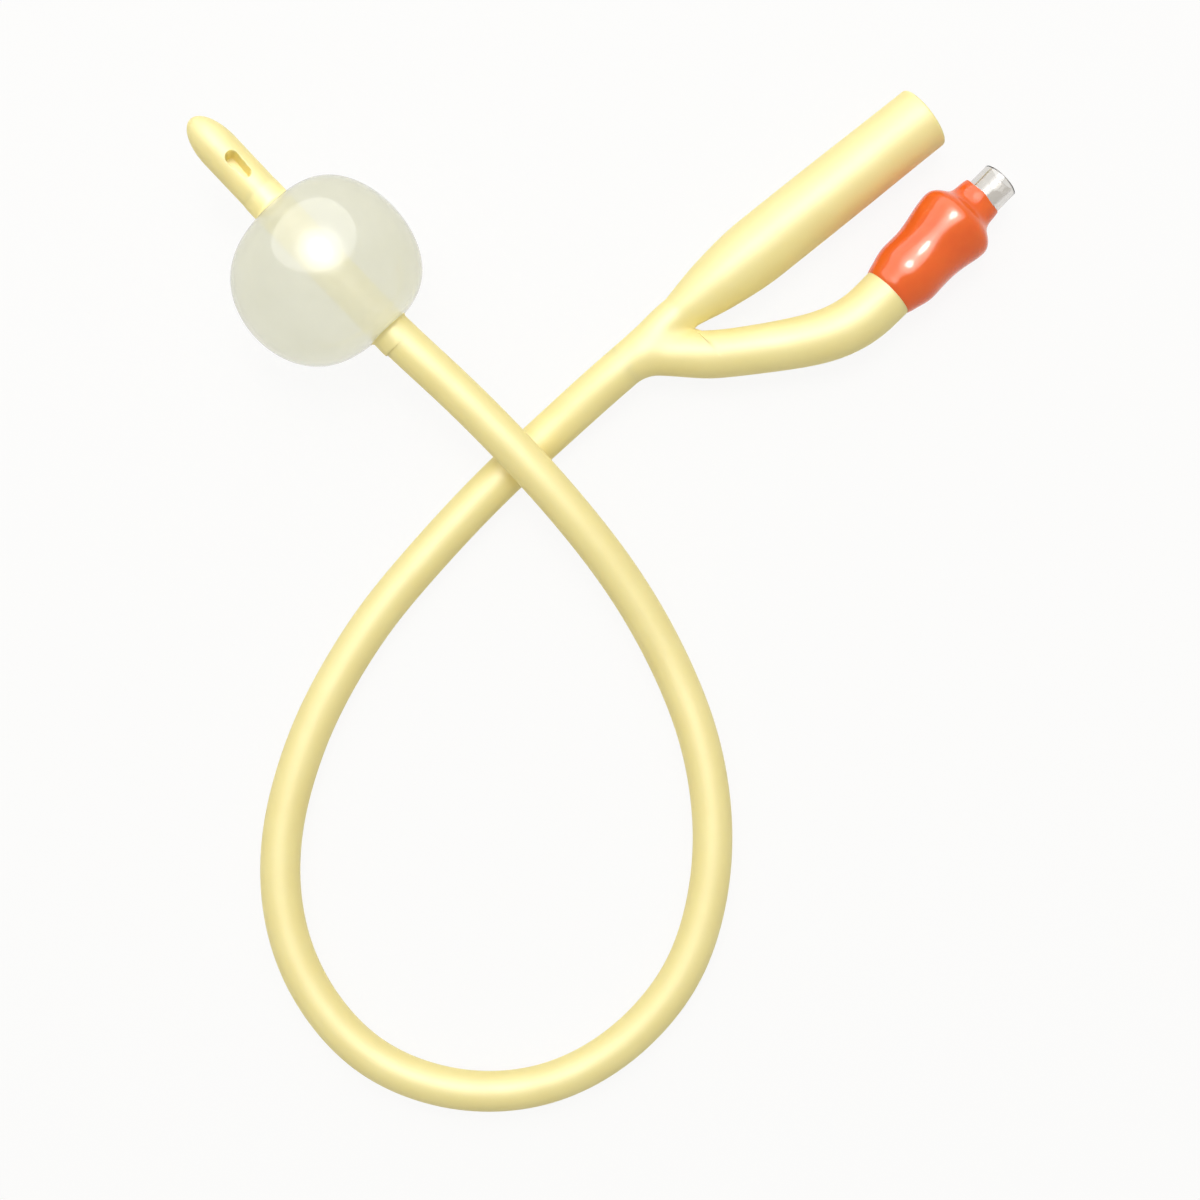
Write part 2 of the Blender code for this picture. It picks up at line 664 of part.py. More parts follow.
def radial_cutter(name, at, sideways, turn, length, width, collection):
    """Oval rod that stands square to the shaft, outwards from inside it, turned from the shaft's left."""
    forward = shaft_forward(at)
    left, up = section_axes(forward)
    outwards = left * math.cos(turn) + up * math.sin(turn)
    across = np.cross(outwards, forward)
    reach = 2 * SHAFT_RADIUS
    built = bmesh.new()
    bmesh.ops.create_cone(built, cap_ends=True, segments=16, radius1=0.5, radius2=0.5, depth=1.0)
    place = Matrix((forward * length, across * width, outwards * reach)).transposed().to_4x4()
    centre = shaft_points([at])[0] + left * sideways + outwards * reach / 2
    mesh = bpy.data.meshes.new(name)
    built.transform(Matrix.Translation(Vector(centre)) @ place)
    bmesh.ops.recalc_face_normals(built, faces=built.faces)
    built.to_mesh(mesh)
    built.free()
    made = bpy.data.objects.new(name, mesh)
    collection.objects.link(made)
    return made


def make_body(parts, cutters, valve, look):
    body = dipped_body(parts, look)
    cut(body, drainage_lumen(cutters))
    cut(body, inflation_lumen(cutters))
    cut(body, funnel_bore(cutters))
    cut(body, neck_bore(cutters, valve))
    first_turn = math.pi / 2 - EYE_TURN
    eyes = [("first_eye", FIRST_EYE_AT, first_turn), ("second_eye", SECOND_EYE_AT, first_turn + math.pi)]
    for name, at, turn in eyes:
        cut(body, radial_cutter(name, at, DRAIN_OFFSET, turn, EYE_LENGTH, EYE_WIDTH, cutters))
    hole = 2 * INFLATION_HOLE_RADIUS
    cut(body, radial_cutter("inflation_hole", BALLOON_AT, INFLATION_OFFSET, math.pi, hole, hole, cutters))
    smooth_shaded(body)
    return body


def balloon_skin(radius, half_length, cuff_radius, steps):
    """Skin from the top to the bottom as far in as the cuff: half a turn of a full, flattened ball."""
    last = math.acos((cuff_radius / radius) ** (1 / BALLOON_FULLNESS))
    turn = np.linspace(last, -last, steps)
    return [(radius * math.cos(a) ** BALLOON_FULLNESS, half_length * math.sin(a)) for a in turn]


def make_balloon(parts, look):
    cuff_outside = SHAFT_RADIUS
    cuff_inside = cuff_outside - BALLOON_WALL
    end = BALLOON_HALF_LENGTH + CUFF_LENGTH
    inner_radius = BALLOON_RADIUS - BALLOON_WALL
    inner_half = BALLOON_HALF_LENGTH - BALLOON_WALL
    outside = balloon_skin(BALLOON_RADIUS, BALLOON_HALF_LENGTH, cuff_outside + BALLOON_WALL, 17)
    inside = balloon_skin(inner_radius, inner_half, cuff_inside + BALLOON_WALL, 13)[::-1]
    fillet = BALLOON_HALF_LENGTH + BALLOON_WALL / 2
    outline = [
        (cuff_outside, end),
        (cuff_outside, fillet),
        *outside,
        (cuff_outside, -fillet),
        (cuff_outside, -end),
        (cuff_inside, -end),
        (cuff_inside, -inner_half),
        *inside,
        (cuff_inside, inner_half),
        (cuff_inside, end),
    ]
    balloon = turned("balloon", outline, parts, BALLOON_SIDES, look)
    bpy.context.view_layer.update()
    balloon.data = bpy.data.meshes.new_from_object(balloon.evaluated_get(bpy.context.evaluated_depsgraph_get()))
    balloon.modifiers.clear()
    for vertex in balloon.data.vertices:
        bulge = (math.hypot(vertex.co.x, vertex.co.y) - cuff_outside) / (BALLOON_RADIUS - cuff_outside)
        vertex.co.x -= BALLOON_SIDEWAYS * max(bulge, 0.0)
    balloon.matrix_world = on_axis(shaft_points([BALLOON_AT])[0], shaft_forward(BALLOON_AT))
    return balloon


def sleeve_outside():
    """Outer outline of the sleeve: it bulges over the flange and the shoulder, and grips the port."""
    port = PORT_RADIUS + SLEEVE_GAP
    marks = [
        (0.0, NECK_RADIUS + SLEEVE_GAP + SLEEVE_WALL),
        ((FLANGE_START + FLANGE_END) / 2, FLANGE_RADIUS + SLEEVE_GAP + SLEEVE_WALL),
        ((HOUSING_START + WAIST_END) / 2, HOUSING_RADIUS + SLEEVE_GAP + SLEEVE_WALL),
        (SHOULDER_END - SHOULDER_LENGTH / 2, SHOULDER_RADIUS + SLEEVE_GAP + SLEEVE_WALL),
        (PORT_START + SLEEVE_WALL, port + (SLEEVE_WALL + SLEEVE_COLLAR_WALL) / 2),
        (SLEEVE_LENGTH, port + SLEEVE_COLLAR_WALL),
    ]
    outline = [(marks[0][1], marks[0][0])]
    for (low, radius), (high, next_radius) in zip(marks, marks[1:]):
        for share in (0.25, 0.5, 0.75, 1.0):
            eased = float(ease(share))
            outline.append((radius + (next_radius - radius) * eased, low + (high - low) * share))
    return outline[::-1]


def make_sleeve(parts, valve, look):
    gap = SLEEVE_GAP
    inside = [
        (NECK_RADIUS + gap, 0.0),
        (NECK_RADIUS + gap, FLANGE_START - gap),
        (FLANGE_RADIUS + gap, FLANGE_START - gap),
        (FLANGE_RADIUS + gap, FLANGE_END + gap),
        (HOUSING_RADIUS + gap, HOUSING_START + gap),
        (HOUSING_RADIUS + gap, WAIST_END),
        (SHOULDER_RADIUS + gap, SHOULDER_START),
        (SHOULDER_RADIUS + gap, SHOULDER_END),
        (PORT_RADIUS + gap, PORT_START + gap),
        (PORT_RADIUS + gap, SLEEVE_LENGTH),
    ]
    return turned("port_sleeve", sleeve_outside() + inside, parts, TURNED_SIDES, look, valve)


def make_housing(parts, valve, look):
    """Clear body: the port with its Luer socket, the seat, and the chamber for plunger and spring."""
    outline = [
        (PORT_RADIUS - PORT_CHAMFER, PORT_END),
        (PORT_RADIUS, PORT_END - PORT_CHAMFER),
        (PORT_RADIUS, PORT_START),
        (SHOULDER_RADIUS, SHOULDER_END),
        (SHOULDER_RADIUS, SHOULDER_START),
        (HOUSING_RADIUS, WAIST_END),
        (HOUSING_RADIUS, HOUSING_START),
        (CHAMBER_RADIUS, HOUSING_START),
        (CHAMBER_RADIUS, SEAT_FACE),
        (SEAT_HOLE_RADIUS, SEAT_FACE),
        (SEAT_HOLE_RADIUS, LUER_END),
        (LUER_MOUTH_RADIUS - LUER_TAPER * LUER_DEPTH, LUER_END),
        (LUER_MOUTH_RADIUS, PORT_END),
    ]
    return turned("valve_housing", outline, parts, TURNED_SIDES, look, valve)


def make_insert(parts, valve, look):
    """Flanged insert: a spigot that carries the spring, and a barbed tail in the arm."""
    spigot = CHAMBER_RADIUS - FIT_GAP
    outside = [
        (spigot, SPIGOT_END),
        (spigot, FLANGE_END),
        (FLANGE_RADIUS, FLANGE_END),
        (FLANGE_RADIUS, FLANGE_START),
        (TAIL_RADIUS, FLANGE_START),
    ]
    pitch = (TAIL_LENGTH + FLANGE_START) / (BARB_COUNT + 1)
    for barb in range(1, BARB_COUNT + 1):
        top = FLANGE_START - pitch * barb
        outside += [(TAIL_RADIUS, top), (BARB_RADIUS, top), (TAIL_RADIUS, top - pitch / 2)]
    outside += [(TAIL_RADIUS, -TAIL_LENGTH), (INSERT_BORE_RADIUS, -TAIL_LENGTH)]
    outside += [(INSERT_BORE_RADIUS, SPIGOT_END)]
    return turned("valve_insert", outside, parts, TURNED_SIDES, look, valve)


def make_plunger(parts, valve, look):
    """Pin through the seat, head under the seal, and a stem that runs in the insert's bore."""
    pin_top = LUER_END + PIN_REACH
    stem_bottom = SPIGOT_END + STEM_CLEAR
    outline = [
        (0.0, pin_top),
        (PIN_RADIUS * 0.6, pin_top),
        (PIN_RADIUS, pin_top - PIN_RADIUS * 0.5),
        (PIN_RADIUS, HEAD_TOP),
        (HEAD_RADIUS, HEAD_TOP),
        (HEAD_RADIUS, HEAD_BOTTOM),
        (STEM_RADIUS, HEAD_BOTTOM),
        (STEM_RADIUS, stem_bottom),
        (0.0, stem_bottom),
    ]
    return turned("valve_plunger", outline, parts, TURNED_SIDES, look, valve)


def make_seal(parts, valve, look):
    inside = PIN_RADIUS + SEAL_GAP
    round_off = SEAL_THICKNESS / 4
    low = HEAD_TOP + SEAL_GAP
    outline = [
        (inside, SEAL_TOP),
        (HEAD_RADIUS - round_off, SEAL_TOP),
        (HEAD_RADIUS, SEAL_TOP - round_off),
        (HEAD_RADIUS, low + round_off),
        (HEAD_RADIUS - round_off, low),
        (inside, low),
    ]
    return turned("valve_seal", outline, parts, TURNED_SIDES, look, valve)


def make_spring(parts, valve, look):
    """Compression spring between the insert's spigot and the plunger's head."""
    low = SPIGOT_END + SPRING_END_GAP + SPRING_WIRE_RADIUS
    high = HEAD_BOTTOM - SPRING_END_GAP - SPRING_WIRE_RADIUS
    points = []
    for i in range(SPRING_TURNS * SPRING_POINTS_PER_TURN + 1):
        turn = 2 * math.pi * i / SPRING_POINTS_PER_TURN
        rise = low + (high - low) * i / (SPRING_TURNS * SPRING_POINTS_PER_TURN)
        points.append((SPRING_RADIUS * math.cos(turn), SPRING_RADIUS * math.sin(turn), rise))
    spring = tube_mesh("valve_spring", points, [SPRING_WIRE_RADIUS] * len(points), parts, look)
    spring.parent = valve
    smooth_shaded(spring)
    return spring


SHAFT_CURVE = cubic_through(SHAFT_ROUTE)
SHAFT_END = float(SHAFT_CURVE[1][-1])
VALVE_WAY = np.array([math.cos(VALVE_HEADING), math.sin(VALVE_HEADING), 0.0])
VALVE_POINT = np.array([VALVE_X, VALVE_Y, VALVE_Z])
NECK_POINT = VALVE_POINT + VALVE_WAY * NECK_LENGTH
ARM_CURVE = cubic_through([*ARM_ROUTE, tuple(VALVE_POINT[:2]), tuple(NECK_POINT[:2])])
ARM_CROTCH = float(np.interp(CROTCH_X, ARM_CURVE[0][:, 0], ARM_CURVE[1]))
ARM_END = float(ARM_CURVE[1][np.argmin(np.linalg.norm(ARM_CURVE[0] - VALVE_POINT[:2], axis=1))]) - ARM_CROTCH
FUNNEL_BALLS = funnel_balls()
ARM_BALLS = arm_balls()


def main():
    clear_scene()
    parts = new_collection("foley_catheter")
    cutters = new_collection("cutters")
    latex = material("latex", (0.91, 0.82, 0.42), 0.38)
    balloon_rubber = material("balloon_rubber", (0.78, 0.78, 0.70), 0.35, alpha=0.6)
    orange_rubber = material("orange_rubber", (0.95, 0.16, 0.04), 0.2)
    clear_plastic = material("clear_plastic", (0.86, 0.86, 0.84), 0.1, alpha=0.5)
    white_plastic = material("white_plastic", (0.80, 0.80, 0.78), 0.35)
    seal_rubber = material("seal_rubber", (0.05, 0.05, 0.05), 0.6)
    steel = material("spring_steel", (0.62, 0.62, 0.64), 0.3, metallic=1.0)
    valve = bpy.data.objects.new("valve_axis", None)
    parts.objects.link(valve)
    valve.matrix_world = on_axis(VALVE_POINT, VALVE_WAY)
    make_body(parts, cutters, valve, latex)
    make_balloon(parts, balloon_rubber)
    make_sleeve(parts, valve, orange_rubber)
    make_housing(parts, valve, clear_plastic)
    make_insert(parts, valve, white_plastic)
    make_plunger(parts, valve, white_plastic)
    make_seal(parts, valve, seal_rubber)
    make_spring(parts, valve, steel)


main()
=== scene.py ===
# A two-way Foley catheter of dipped latex, lying in a loose loop with its balloon filled.
#
# Metres, in the row frame. The latex body is shown as two pieces: the shaft, a latex tube with a
# closed, eyed tip, and the fork, where funnel and side arm part. Distances along the shaft start at its
# tip, and stations on the valve axis start at the orange sleeve, as in the part's own source.

import math

import bmesh
import bpy
import numpy as np
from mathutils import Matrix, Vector


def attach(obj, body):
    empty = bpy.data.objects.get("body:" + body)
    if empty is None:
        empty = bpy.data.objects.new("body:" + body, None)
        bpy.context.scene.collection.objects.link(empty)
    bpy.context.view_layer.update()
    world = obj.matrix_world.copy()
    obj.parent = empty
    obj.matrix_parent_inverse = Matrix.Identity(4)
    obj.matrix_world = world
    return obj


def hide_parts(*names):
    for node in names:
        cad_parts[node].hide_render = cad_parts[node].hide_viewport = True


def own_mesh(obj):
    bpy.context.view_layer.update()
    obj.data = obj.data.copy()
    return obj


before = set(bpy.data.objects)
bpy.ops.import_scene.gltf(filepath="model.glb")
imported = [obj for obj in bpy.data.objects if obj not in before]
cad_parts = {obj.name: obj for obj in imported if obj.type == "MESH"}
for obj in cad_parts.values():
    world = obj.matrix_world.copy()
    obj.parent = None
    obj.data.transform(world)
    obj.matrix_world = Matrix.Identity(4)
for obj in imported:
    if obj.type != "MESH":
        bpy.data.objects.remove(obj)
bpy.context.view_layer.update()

mm = 0.001
white = (1.0, 1.0, 1.0, 1.0)
worldUp = np.array([0.0, 0.0, 1.0])
alongX = np.array([1.0, 0.0, 0.0])
slopeStep = 0.2 * mm  # to each side of a place, for the heading of a line there


# Camera: straight above the loop, rolled so that the funnel points up to the right.

photoView = {
    "place": (-6.2 * mm, -16.9 * mm, 300 * mm),
    "roll": -38.6,  # degrees
    "lens": 59.0,
    "sensor": 36,
    "nearest": 10 * mm,
}


def makeCamera():
    data = bpy.data.cameras.new("photoCamera")
    data.lens = photoView["lens"]
    data.sensor_width = photoView["sensor"]
    data.clip_start = photoView["nearest"]
    camera = bpy.data.objects.new("photoCamera", data)
    camera.location = photoView["place"]
    camera.rotation_euler = (0.0, 0.0, math.radians(photoView["roll"]))
    bpy.context.scene.collection.objects.link(camera)
    bpy.context.scene.camera = camera


# Curves and surfaces as whole arrays.

def ease(share):
    # Rises from 0 to 1 with level ends: 3 s squared less 2 s cubed
    share = np.clip(share, 0.0, 1.0)
    return share * share * (3.0 - 2.0 * share)


def unit(vectors):
    return vectors / np.linalg.norm(vectors, axis=-1, keepdims=True)


def runningLength(points):
    return np.concatenate([[0.0], np.cumsum(np.linalg.norm(np.diff(points, axis=0), axis=1))])


def splineThrough(points, count=2000):
    # Natural cubic spline: between two given points it is the cubic whose bend changes evenly, and the
    # bends are those that make neighbouring cubics meet with the same slope. Returns points on it and how
    # far along it they are.
    points = np.array(points, float)
    knots = runningLength(points)
    spans = np.diff(knots)
    slopes = np.diff(points, axis=0) / spans[:, None]
    system = np.diag(np.r_[1.0, 2 * (spans[:-1] + spans[1:]), 1.0])
    system += np.diag(np.r_[spans[:-1], 0.0], -1) + np.diag(np.r_[0.0, spans[1:]], 1)
    right = np.zeros_like(points)
    right[1:-1] = 6 * np.diff(slopes, axis=0)
    bends = np.linalg.solve(system, right)
    where = np.linspace(0.0, knots[-1], count)
    k = np.clip(np.searchsorted(knots, where) - 1, 0, len(spans) - 1)
    span = spans[k, None]
    after = (where - knots[k])[:, None]
    before = span - after
    curve = (bends[k] * before**3 + bends[k + 1] * after**3) / (6 * span)
    curve += (points[k] / span - bends[k] * span / 6) * before
    curve += (points[k + 1] / span - bends[k + 1] * span / 6) * after
    return curve, runningLength(curve)


def readCurve(curve, distance, at):
    return np.stack([np.interp(at, distance, curve[:, k]) for k in range(curve.shape[1])], axis=-1)


def crossAxes(forward):
    # For each heading, the level axis to its left and the axis square to both
    left = unit(np.cross(worldUp, forward))
    return left, np.cross(forward, left)


def evenTurns(sides):
    return np.linspace(0.0, 2 * math.pi, sides, endpoint=False)


def tubeRings(centres, forward, reach, turns):
    # Point = centre + reach (left cos turn + top sin turn). There is one centre for each ring. One heading,
    # reach or row of turns may serve all the rings.
    forward = np.broadcast_to(forward, centres.shape)
    left, top = crossAxes(forward)
    turns = np.broadcast_to(turns, (len(centres), np.shape(turns)[-1]))[..., None]
    outwards = left[:, None] * np.cos(turns) + top[:, None] * np.sin(turns)
    return centres[:, None] + outwards * np.broadcast_to(reach, turns.shape[:2])[..., None]


def numbered(rings, first=0):
    # The running number of each point, in the rings' own rows
    return first + np.arange(rings.shape[0] * rings.shape[1]).reshape(rings.shape[:2])


def bridge(low, high):
    # Quads between two rings of point numbers, or between two rows of rings
    return np.stack([low, high, np.roll(high, -1, -1), np.roll(low, -1, -1)], axis=-1).reshape(-1, 4)


def fan(ring, pole):
    # Triangles from a ring to one point
    return np.stack([ring, np.roll(ring, -1), np.full_like(ring, pole)], axis=-1)


def makePiece(name, points, faces, looks, body, sharp):
    # A closed skin whose volume comes out below nothing is inside out, and is turned round. looks is one
    # material, or one for each group of faces. Edges bent by more than sharp, in degrees, stay crisp.
    mesh = bpy.data.meshes.new(name)
    mesh.from_pydata(points.tolist(), [], [face for group in faces for face in group.tolist()])
    built = bmesh.new()
    built.from_mesh(mesh)
    bmesh.ops.recalc_face_normals(built, faces=built.faces)
    if built.calc_volume(signed=True) < 0:
        bmesh.ops.reverse_faces(built, faces=built.faces)
    built.to_mesh(mesh)
    built.free()
    mesh.shade_smooth()
    mesh.set_sharp_from_angle(angle=math.radians(sharp))
    looks = looks if isinstance(looks, list) else [looks] * len(faces)
    kinds = list(dict.fromkeys(looks))
    for kind in kinds:
        mesh.materials.append(kind)
    numbers = [np.full(len(group), kinds.index(look)) for group, look in zip(faces, looks)]
    mesh.polygons.foreach_set("material_index", np.concatenate(numbers))
    piece = bpy.data.objects.new(name, mesh)
    bpy.context.scene.collection.objects.link(piece)
    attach(piece, body)
    print(f"{name}: {len(mesh.polygons)} faces")
    return piece


# Materials. Colours are sRGB hex values.

def tone(code):
    # The sRGB curve, turned back to linear light
    share = np.array([int(code[i : i + 2], 16) / 255 for i in (1, 3, 5)])
    linear = np.where(share <= 0.04045, share / 12.92, ((share + 0.055) / 1.055) ** 2.4)
    return (*linear.tolist(), 1.0)


def addNode(tree, kind, inputs=None, **settings):
    # One node: settings are its own options, and an input is a value or the socket that feeds it
    node = tree.nodes.new(kind)
    for name, value in settings.items():
        setattr(node, name, value)
    for name, value in (inputs or {}).items():
        if isinstance(value, bpy.types.NodeSocket):
            tree.links.new(value, node.inputs[name])
        else:
            node.inputs[name].default_value = value
    return node


def newMaterial(name):
    material = bpy.data.materials.new(name)
    material.use_nodes = True
    tree = material.node_tree
    tree.nodes.clear()
    return material, tree, addNode(tree, "ShaderNodeOutputMaterial").inputs["Surface"]


latexLook = {
    "pale": "#F8EBA6",
    "deep": "#F0E198",
    "cloud": 7 * mm,  # dipping leaves it a little thicker here and there
    "ripple": 1.6 * mm,
    "rippleHeight": 0.006 * mm,
    "roughness": (0.5, 0.58),
    "ior": 1.56,
    "scatter": 0.5,  # in the thick walls; the thin cuffs have none
    "scatterReach": 1.2 * mm,
    "scatterTint": (1.0, 0.95, 0.8),  # red light goes furthest
}


def dippedLatex(name, scatter):
    # Natural rubber latex, dipped, dried and chlorinated: satin, butter yellow, light goes a little way in
    # and comes out golden
    material, tree, surface = newMaterial(name)
    place = addNode(tree, "ShaderNodeTexCoord").outputs["Object"]
    clouds = addNode(tree, "ShaderNodeTexNoise", {
        "Vector": place, "Scale": 1 / latexLook["cloud"],
    }).outputs["Fac"]
    colour = addNode(tree, "ShaderNodeMix", {
        "Factor": clouds, 6: tone(latexLook["pale"]), 7: tone(latexLook["deep"]),
    }, data_type="RGBA")
    satin = addNode(tree, "ShaderNodeMapRange", {
        "Value": clouds, "To Min": latexLook["roughness"][0], "To Max": latexLook["roughness"][1],
    })
    ripple = addNode(tree, "ShaderNodeTexNoise", {"Vector": place, "Scale": 1 / latexLook["ripple"]})
    bump = addNode(tree, "ShaderNodeBump", {
        "Height": ripple.outputs["Fac"], "Distance": latexLook["rippleHeight"],
    })
    shader = addNode(tree, "ShaderNodeBsdfPrincipled", {
        "Base Color": colour.outputs[2],
        "Roughness": satin.outputs["Result"],
        "IOR": latexLook["ior"],
        "Subsurface Weight": scatter,
        "Subsurface Radius": latexLook["scatterTint"],
        "Subsurface Scale": latexLook["scatterReach"],
        "Normal": bump.outputs["Normal"],
    })
    tree.links.new(shader.outputs["BSDF"], surface)
    return material


balloonLook = {
    "milky": "#F3F4ED",
    "shade": "#E9EAE0",
    "cloud": 9 * mm,
    "clearSkin": (0.22, 0.1),  # share of light let straight through: facing the eye, and edge on
    "clearLining": (0.96, 0.96),
    "clearToLamps": 0.6,  # liquid and skin pass most of a lamp's light on, whichever way it falls
    "through": 0.8,  # share of the rest that is scattered on to the far side
    "gloss": 0.09,
    "shine": 0.04,  # share of light mirrored where it faces the eye
}


def milkySkin(name, clear, shine):
    # A thin stretched rubber skin with liquid behind it: milky, it scatters light on both sides, shows the
    # shaft faintly, and mirrors the lamps in a wet-looking gloss. It is clearest where it faces the eye.
    # It gets milkier with the square of how far it is turned away, and glossier with the fifth power.
    material, tree, surface = newMaterial(name)
    place = addNode(tree, "ShaderNodeTexCoord").outputs["Object"]
    clouds = addNode(tree, "ShaderNodeTexNoise", {
        "Vector": place, "Scale": 1 / balloonLook["cloud"],
    }).outputs["Fac"]
    colour = addNode(tree, "ShaderNodeMix", {
        "Factor": clouds, 6: tone(balloonLook["milky"]), 7: tone(balloonLook["shade"]),
    }, data_type="RGBA").outputs[2]
    scatter = addNode(tree, "ShaderNodeMixShader", {
        "Fac": balloonLook["through"],
        1: addNode(tree, "ShaderNodeBsdfDiffuse", {"Color": colour}).outputs[0],
        2: addNode(tree, "ShaderNodeBsdfTranslucent", {"Color": colour}).outputs[0],
    })
    turned = addNode(tree, "ShaderNodeLayerWeight", {"Blend": 0.5}).outputs["Facing"]
    thickening = addNode(tree, "ShaderNodeMath", {0: turned, 1: 2.0}, operation="POWER")
    clearShare = addNode(tree, "ShaderNodeMapRange", {
        "Value": thickening.outputs[0], "To Min": clear[0], "To Max": clear[1],
    })
    lampLight = addNode(tree, "ShaderNodeMath", {
        0: addNode(tree, "ShaderNodeLightPath").outputs["Is Shadow Ray"], 1: balloonLook["clearToLamps"],
    }, operation="MULTIPLY")
    passed = addNode(tree, "ShaderNodeMath", {
        0: clearShare.outputs["Result"], 1: lampLight.outputs[0],
    }, operation="MAXIMUM")
    skin = addNode(tree, "ShaderNodeMixShader", {
        "Fac": passed.outputs[0],
        1: scatter.outputs[0],
        2: addNode(tree, "ShaderNodeBsdfTransparent").outputs[0],
    })
    if shine:
        edge = addNode(tree, "ShaderNodeMath", {0: turned, 1: 5.0}, operation="POWER")
        share = addNode(tree, "ShaderNodeMapRange", {
            "Value": edge.outputs[0], "To Min": shine, "To Max": 1.0,
        })
        skin = addNode(tree, "ShaderNodeMixShader", {
            "Fac": share.outputs["Result"],
            1: skin.outputs[0],
            2: addNode(tree, "ShaderNodeBsdfGlossy", {"Roughness": balloonLook["gloss"]}).outputs[0],
        })
    tree.links.new(skin.outputs[0], surface)
    return material


sleeveLook = {
    "bright": "#FA7426",
    "deep": "#EC5A1C",
    "cloud": 5 * mm,
    "ripple": 2.2 * mm,
    "rippleHeight": 0.03 * mm,
    "roughness": 0.11,
    "ior": 1.38,
    "scatter": 0.15,
    "scatterReach": 0.6 * mm,
    "scatterTint": (1.0, 0.3, 0.1),
}


def dippedOrange(name):
    # Pigmented rubber dipped last and left glossy: wet-looking, with soft waves in its highlights
    material, tree, surface = newMaterial(name)
    place = addNode(tree, "ShaderNodeTexCoord").outputs["Object"]
    clouds = addNode(tree, "ShaderNodeTexNoise", {"Vector": place, "Scale": 1 / sleeveLook["cloud"]})
    colour = addNode(tree, "ShaderNodeMix", {
        "Factor": clouds.outputs["Fac"], 6: tone(sleeveLook["bright"]), 7: tone(sleeveLook["deep"]),
    }, data_type="RGBA")
    ripple = addNode(tree, "ShaderNodeTexNoise", {
        "Vector": place, "Scale": 1 / sleeveLook["ripple"], "Detail": 1.0,
    })
    bump = addNode(tree, "ShaderNodeBump", {
        "Height": ripple.outputs["Fac"], "Distance": sleeveLook["rippleHeight"],
    })
    shader = addNode(tree, "ShaderNodeBsdfPrincipled", {
        "Base Color": colour.outputs[2],
        "Roughness": sleeveLook["roughness"],
        "IOR": sleeveLook["ior"],
        "Subsurface Weight": sleeveLook["scatter"],
        "Subsurface Radius": sleeveLook["scatterTint"],
        "Subsurface Scale": sleeveLook["scatterReach"],
        "Normal": bump.outputs["Normal"],
    })
    tree.links.new(shader.outputs["BSDF"], surface)
    return material


plasticLook = {
    "tint": "#DCD9D4",
    "haze": 1.5 * mm,
    "roughness": (0.03, 0.07),
    "ior": 1.58,
}


def clearPlastic(name):
    # Injection-moulded polycarbonate: clear, polished by its mould, faintly grey in its thickness
    material, tree, surface = newMaterial(name)
    place = addNode(tree, "ShaderNodeTexCoord").outputs["Object"]
    haze = addNode(tree, "ShaderNodeTexNoise", {"Vector": place, "Scale": 1 / plasticLook["haze"]})
    polish = addNode(tree, "ShaderNodeMapRange", {
        "Value": haze.outputs["Fac"],
        "To Min": plasticLook["roughness"][0],
        "To Max": plasticLook["roughness"][1],
    })
    shader = addNode(tree, "ShaderNodeBsdfPrincipled", {
        "Base Color": tone(plasticLook["tint"]),
        "Roughness": polish.outputs["Result"],
        "IOR": plasticLook["ior"],
        "Transmission Weight": 1.0,
    })
    tree.links.new(shader.outputs["BSDF"], surface)
    return material


smallLooks = {
    # White acetal, injection moulded: satin, a little creamy
    "whiteAcetal": {"pale": "#F1F0EC", "deep": "#E8E7E2", "roughness": (0.28, 0.38), "metallic": 0.0},
    # Black nitrile rubber, pressed in a mould: nearly matt
    "nitrileRubber": {"pale": "#262626", "deep": "#1D1D1D", "roughness": (0.5, 0.62), "metallic": 0.0},
    # Stainless steel wire, drawn: bright, with a soft sheen
    "stainlessWire": {"pale": "#C4C5C6", "deep": "#B4B5B8", "roughness": (0.22, 0.32), "metallic": 1.0},
}
mottleSize = 0.8 * mm


def smallPart(name):
    # A small part, near even in colour, with the light mottle of its mould or die
    look = smallLooks[name]
    material, tree, surface = newMaterial(name)
    place = addNode(tree, "ShaderNodeTexCoord").outputs["Object"]
    mottle = addNode(tree, "ShaderNodeTexNoise", {"Vector": place, "Scale": 1 / mottleSize}).outputs["Fac"]
    colour = addNode(tree, "ShaderNodeMix", {
        "Factor": mottle, 6: tone(look["pale"]), 7: tone(look["deep"]),
    }, data_type="RGBA")
    finish = addNode(tree, "ShaderNodeMapRange", {
        "Value": mottle, "To Min": look["roughness"][0], "To Max": look["roughness"][1],
    })
    shader = addNode(tree, "ShaderNodeBsdfPrincipled", {
        "Base Color": colour.outputs[2],
        "Roughness": finish.outputs["Result"],
        "Metallic": look["metallic"],
    })
    tree.links.new(shader.outputs["BSDF"], surface)
    return material
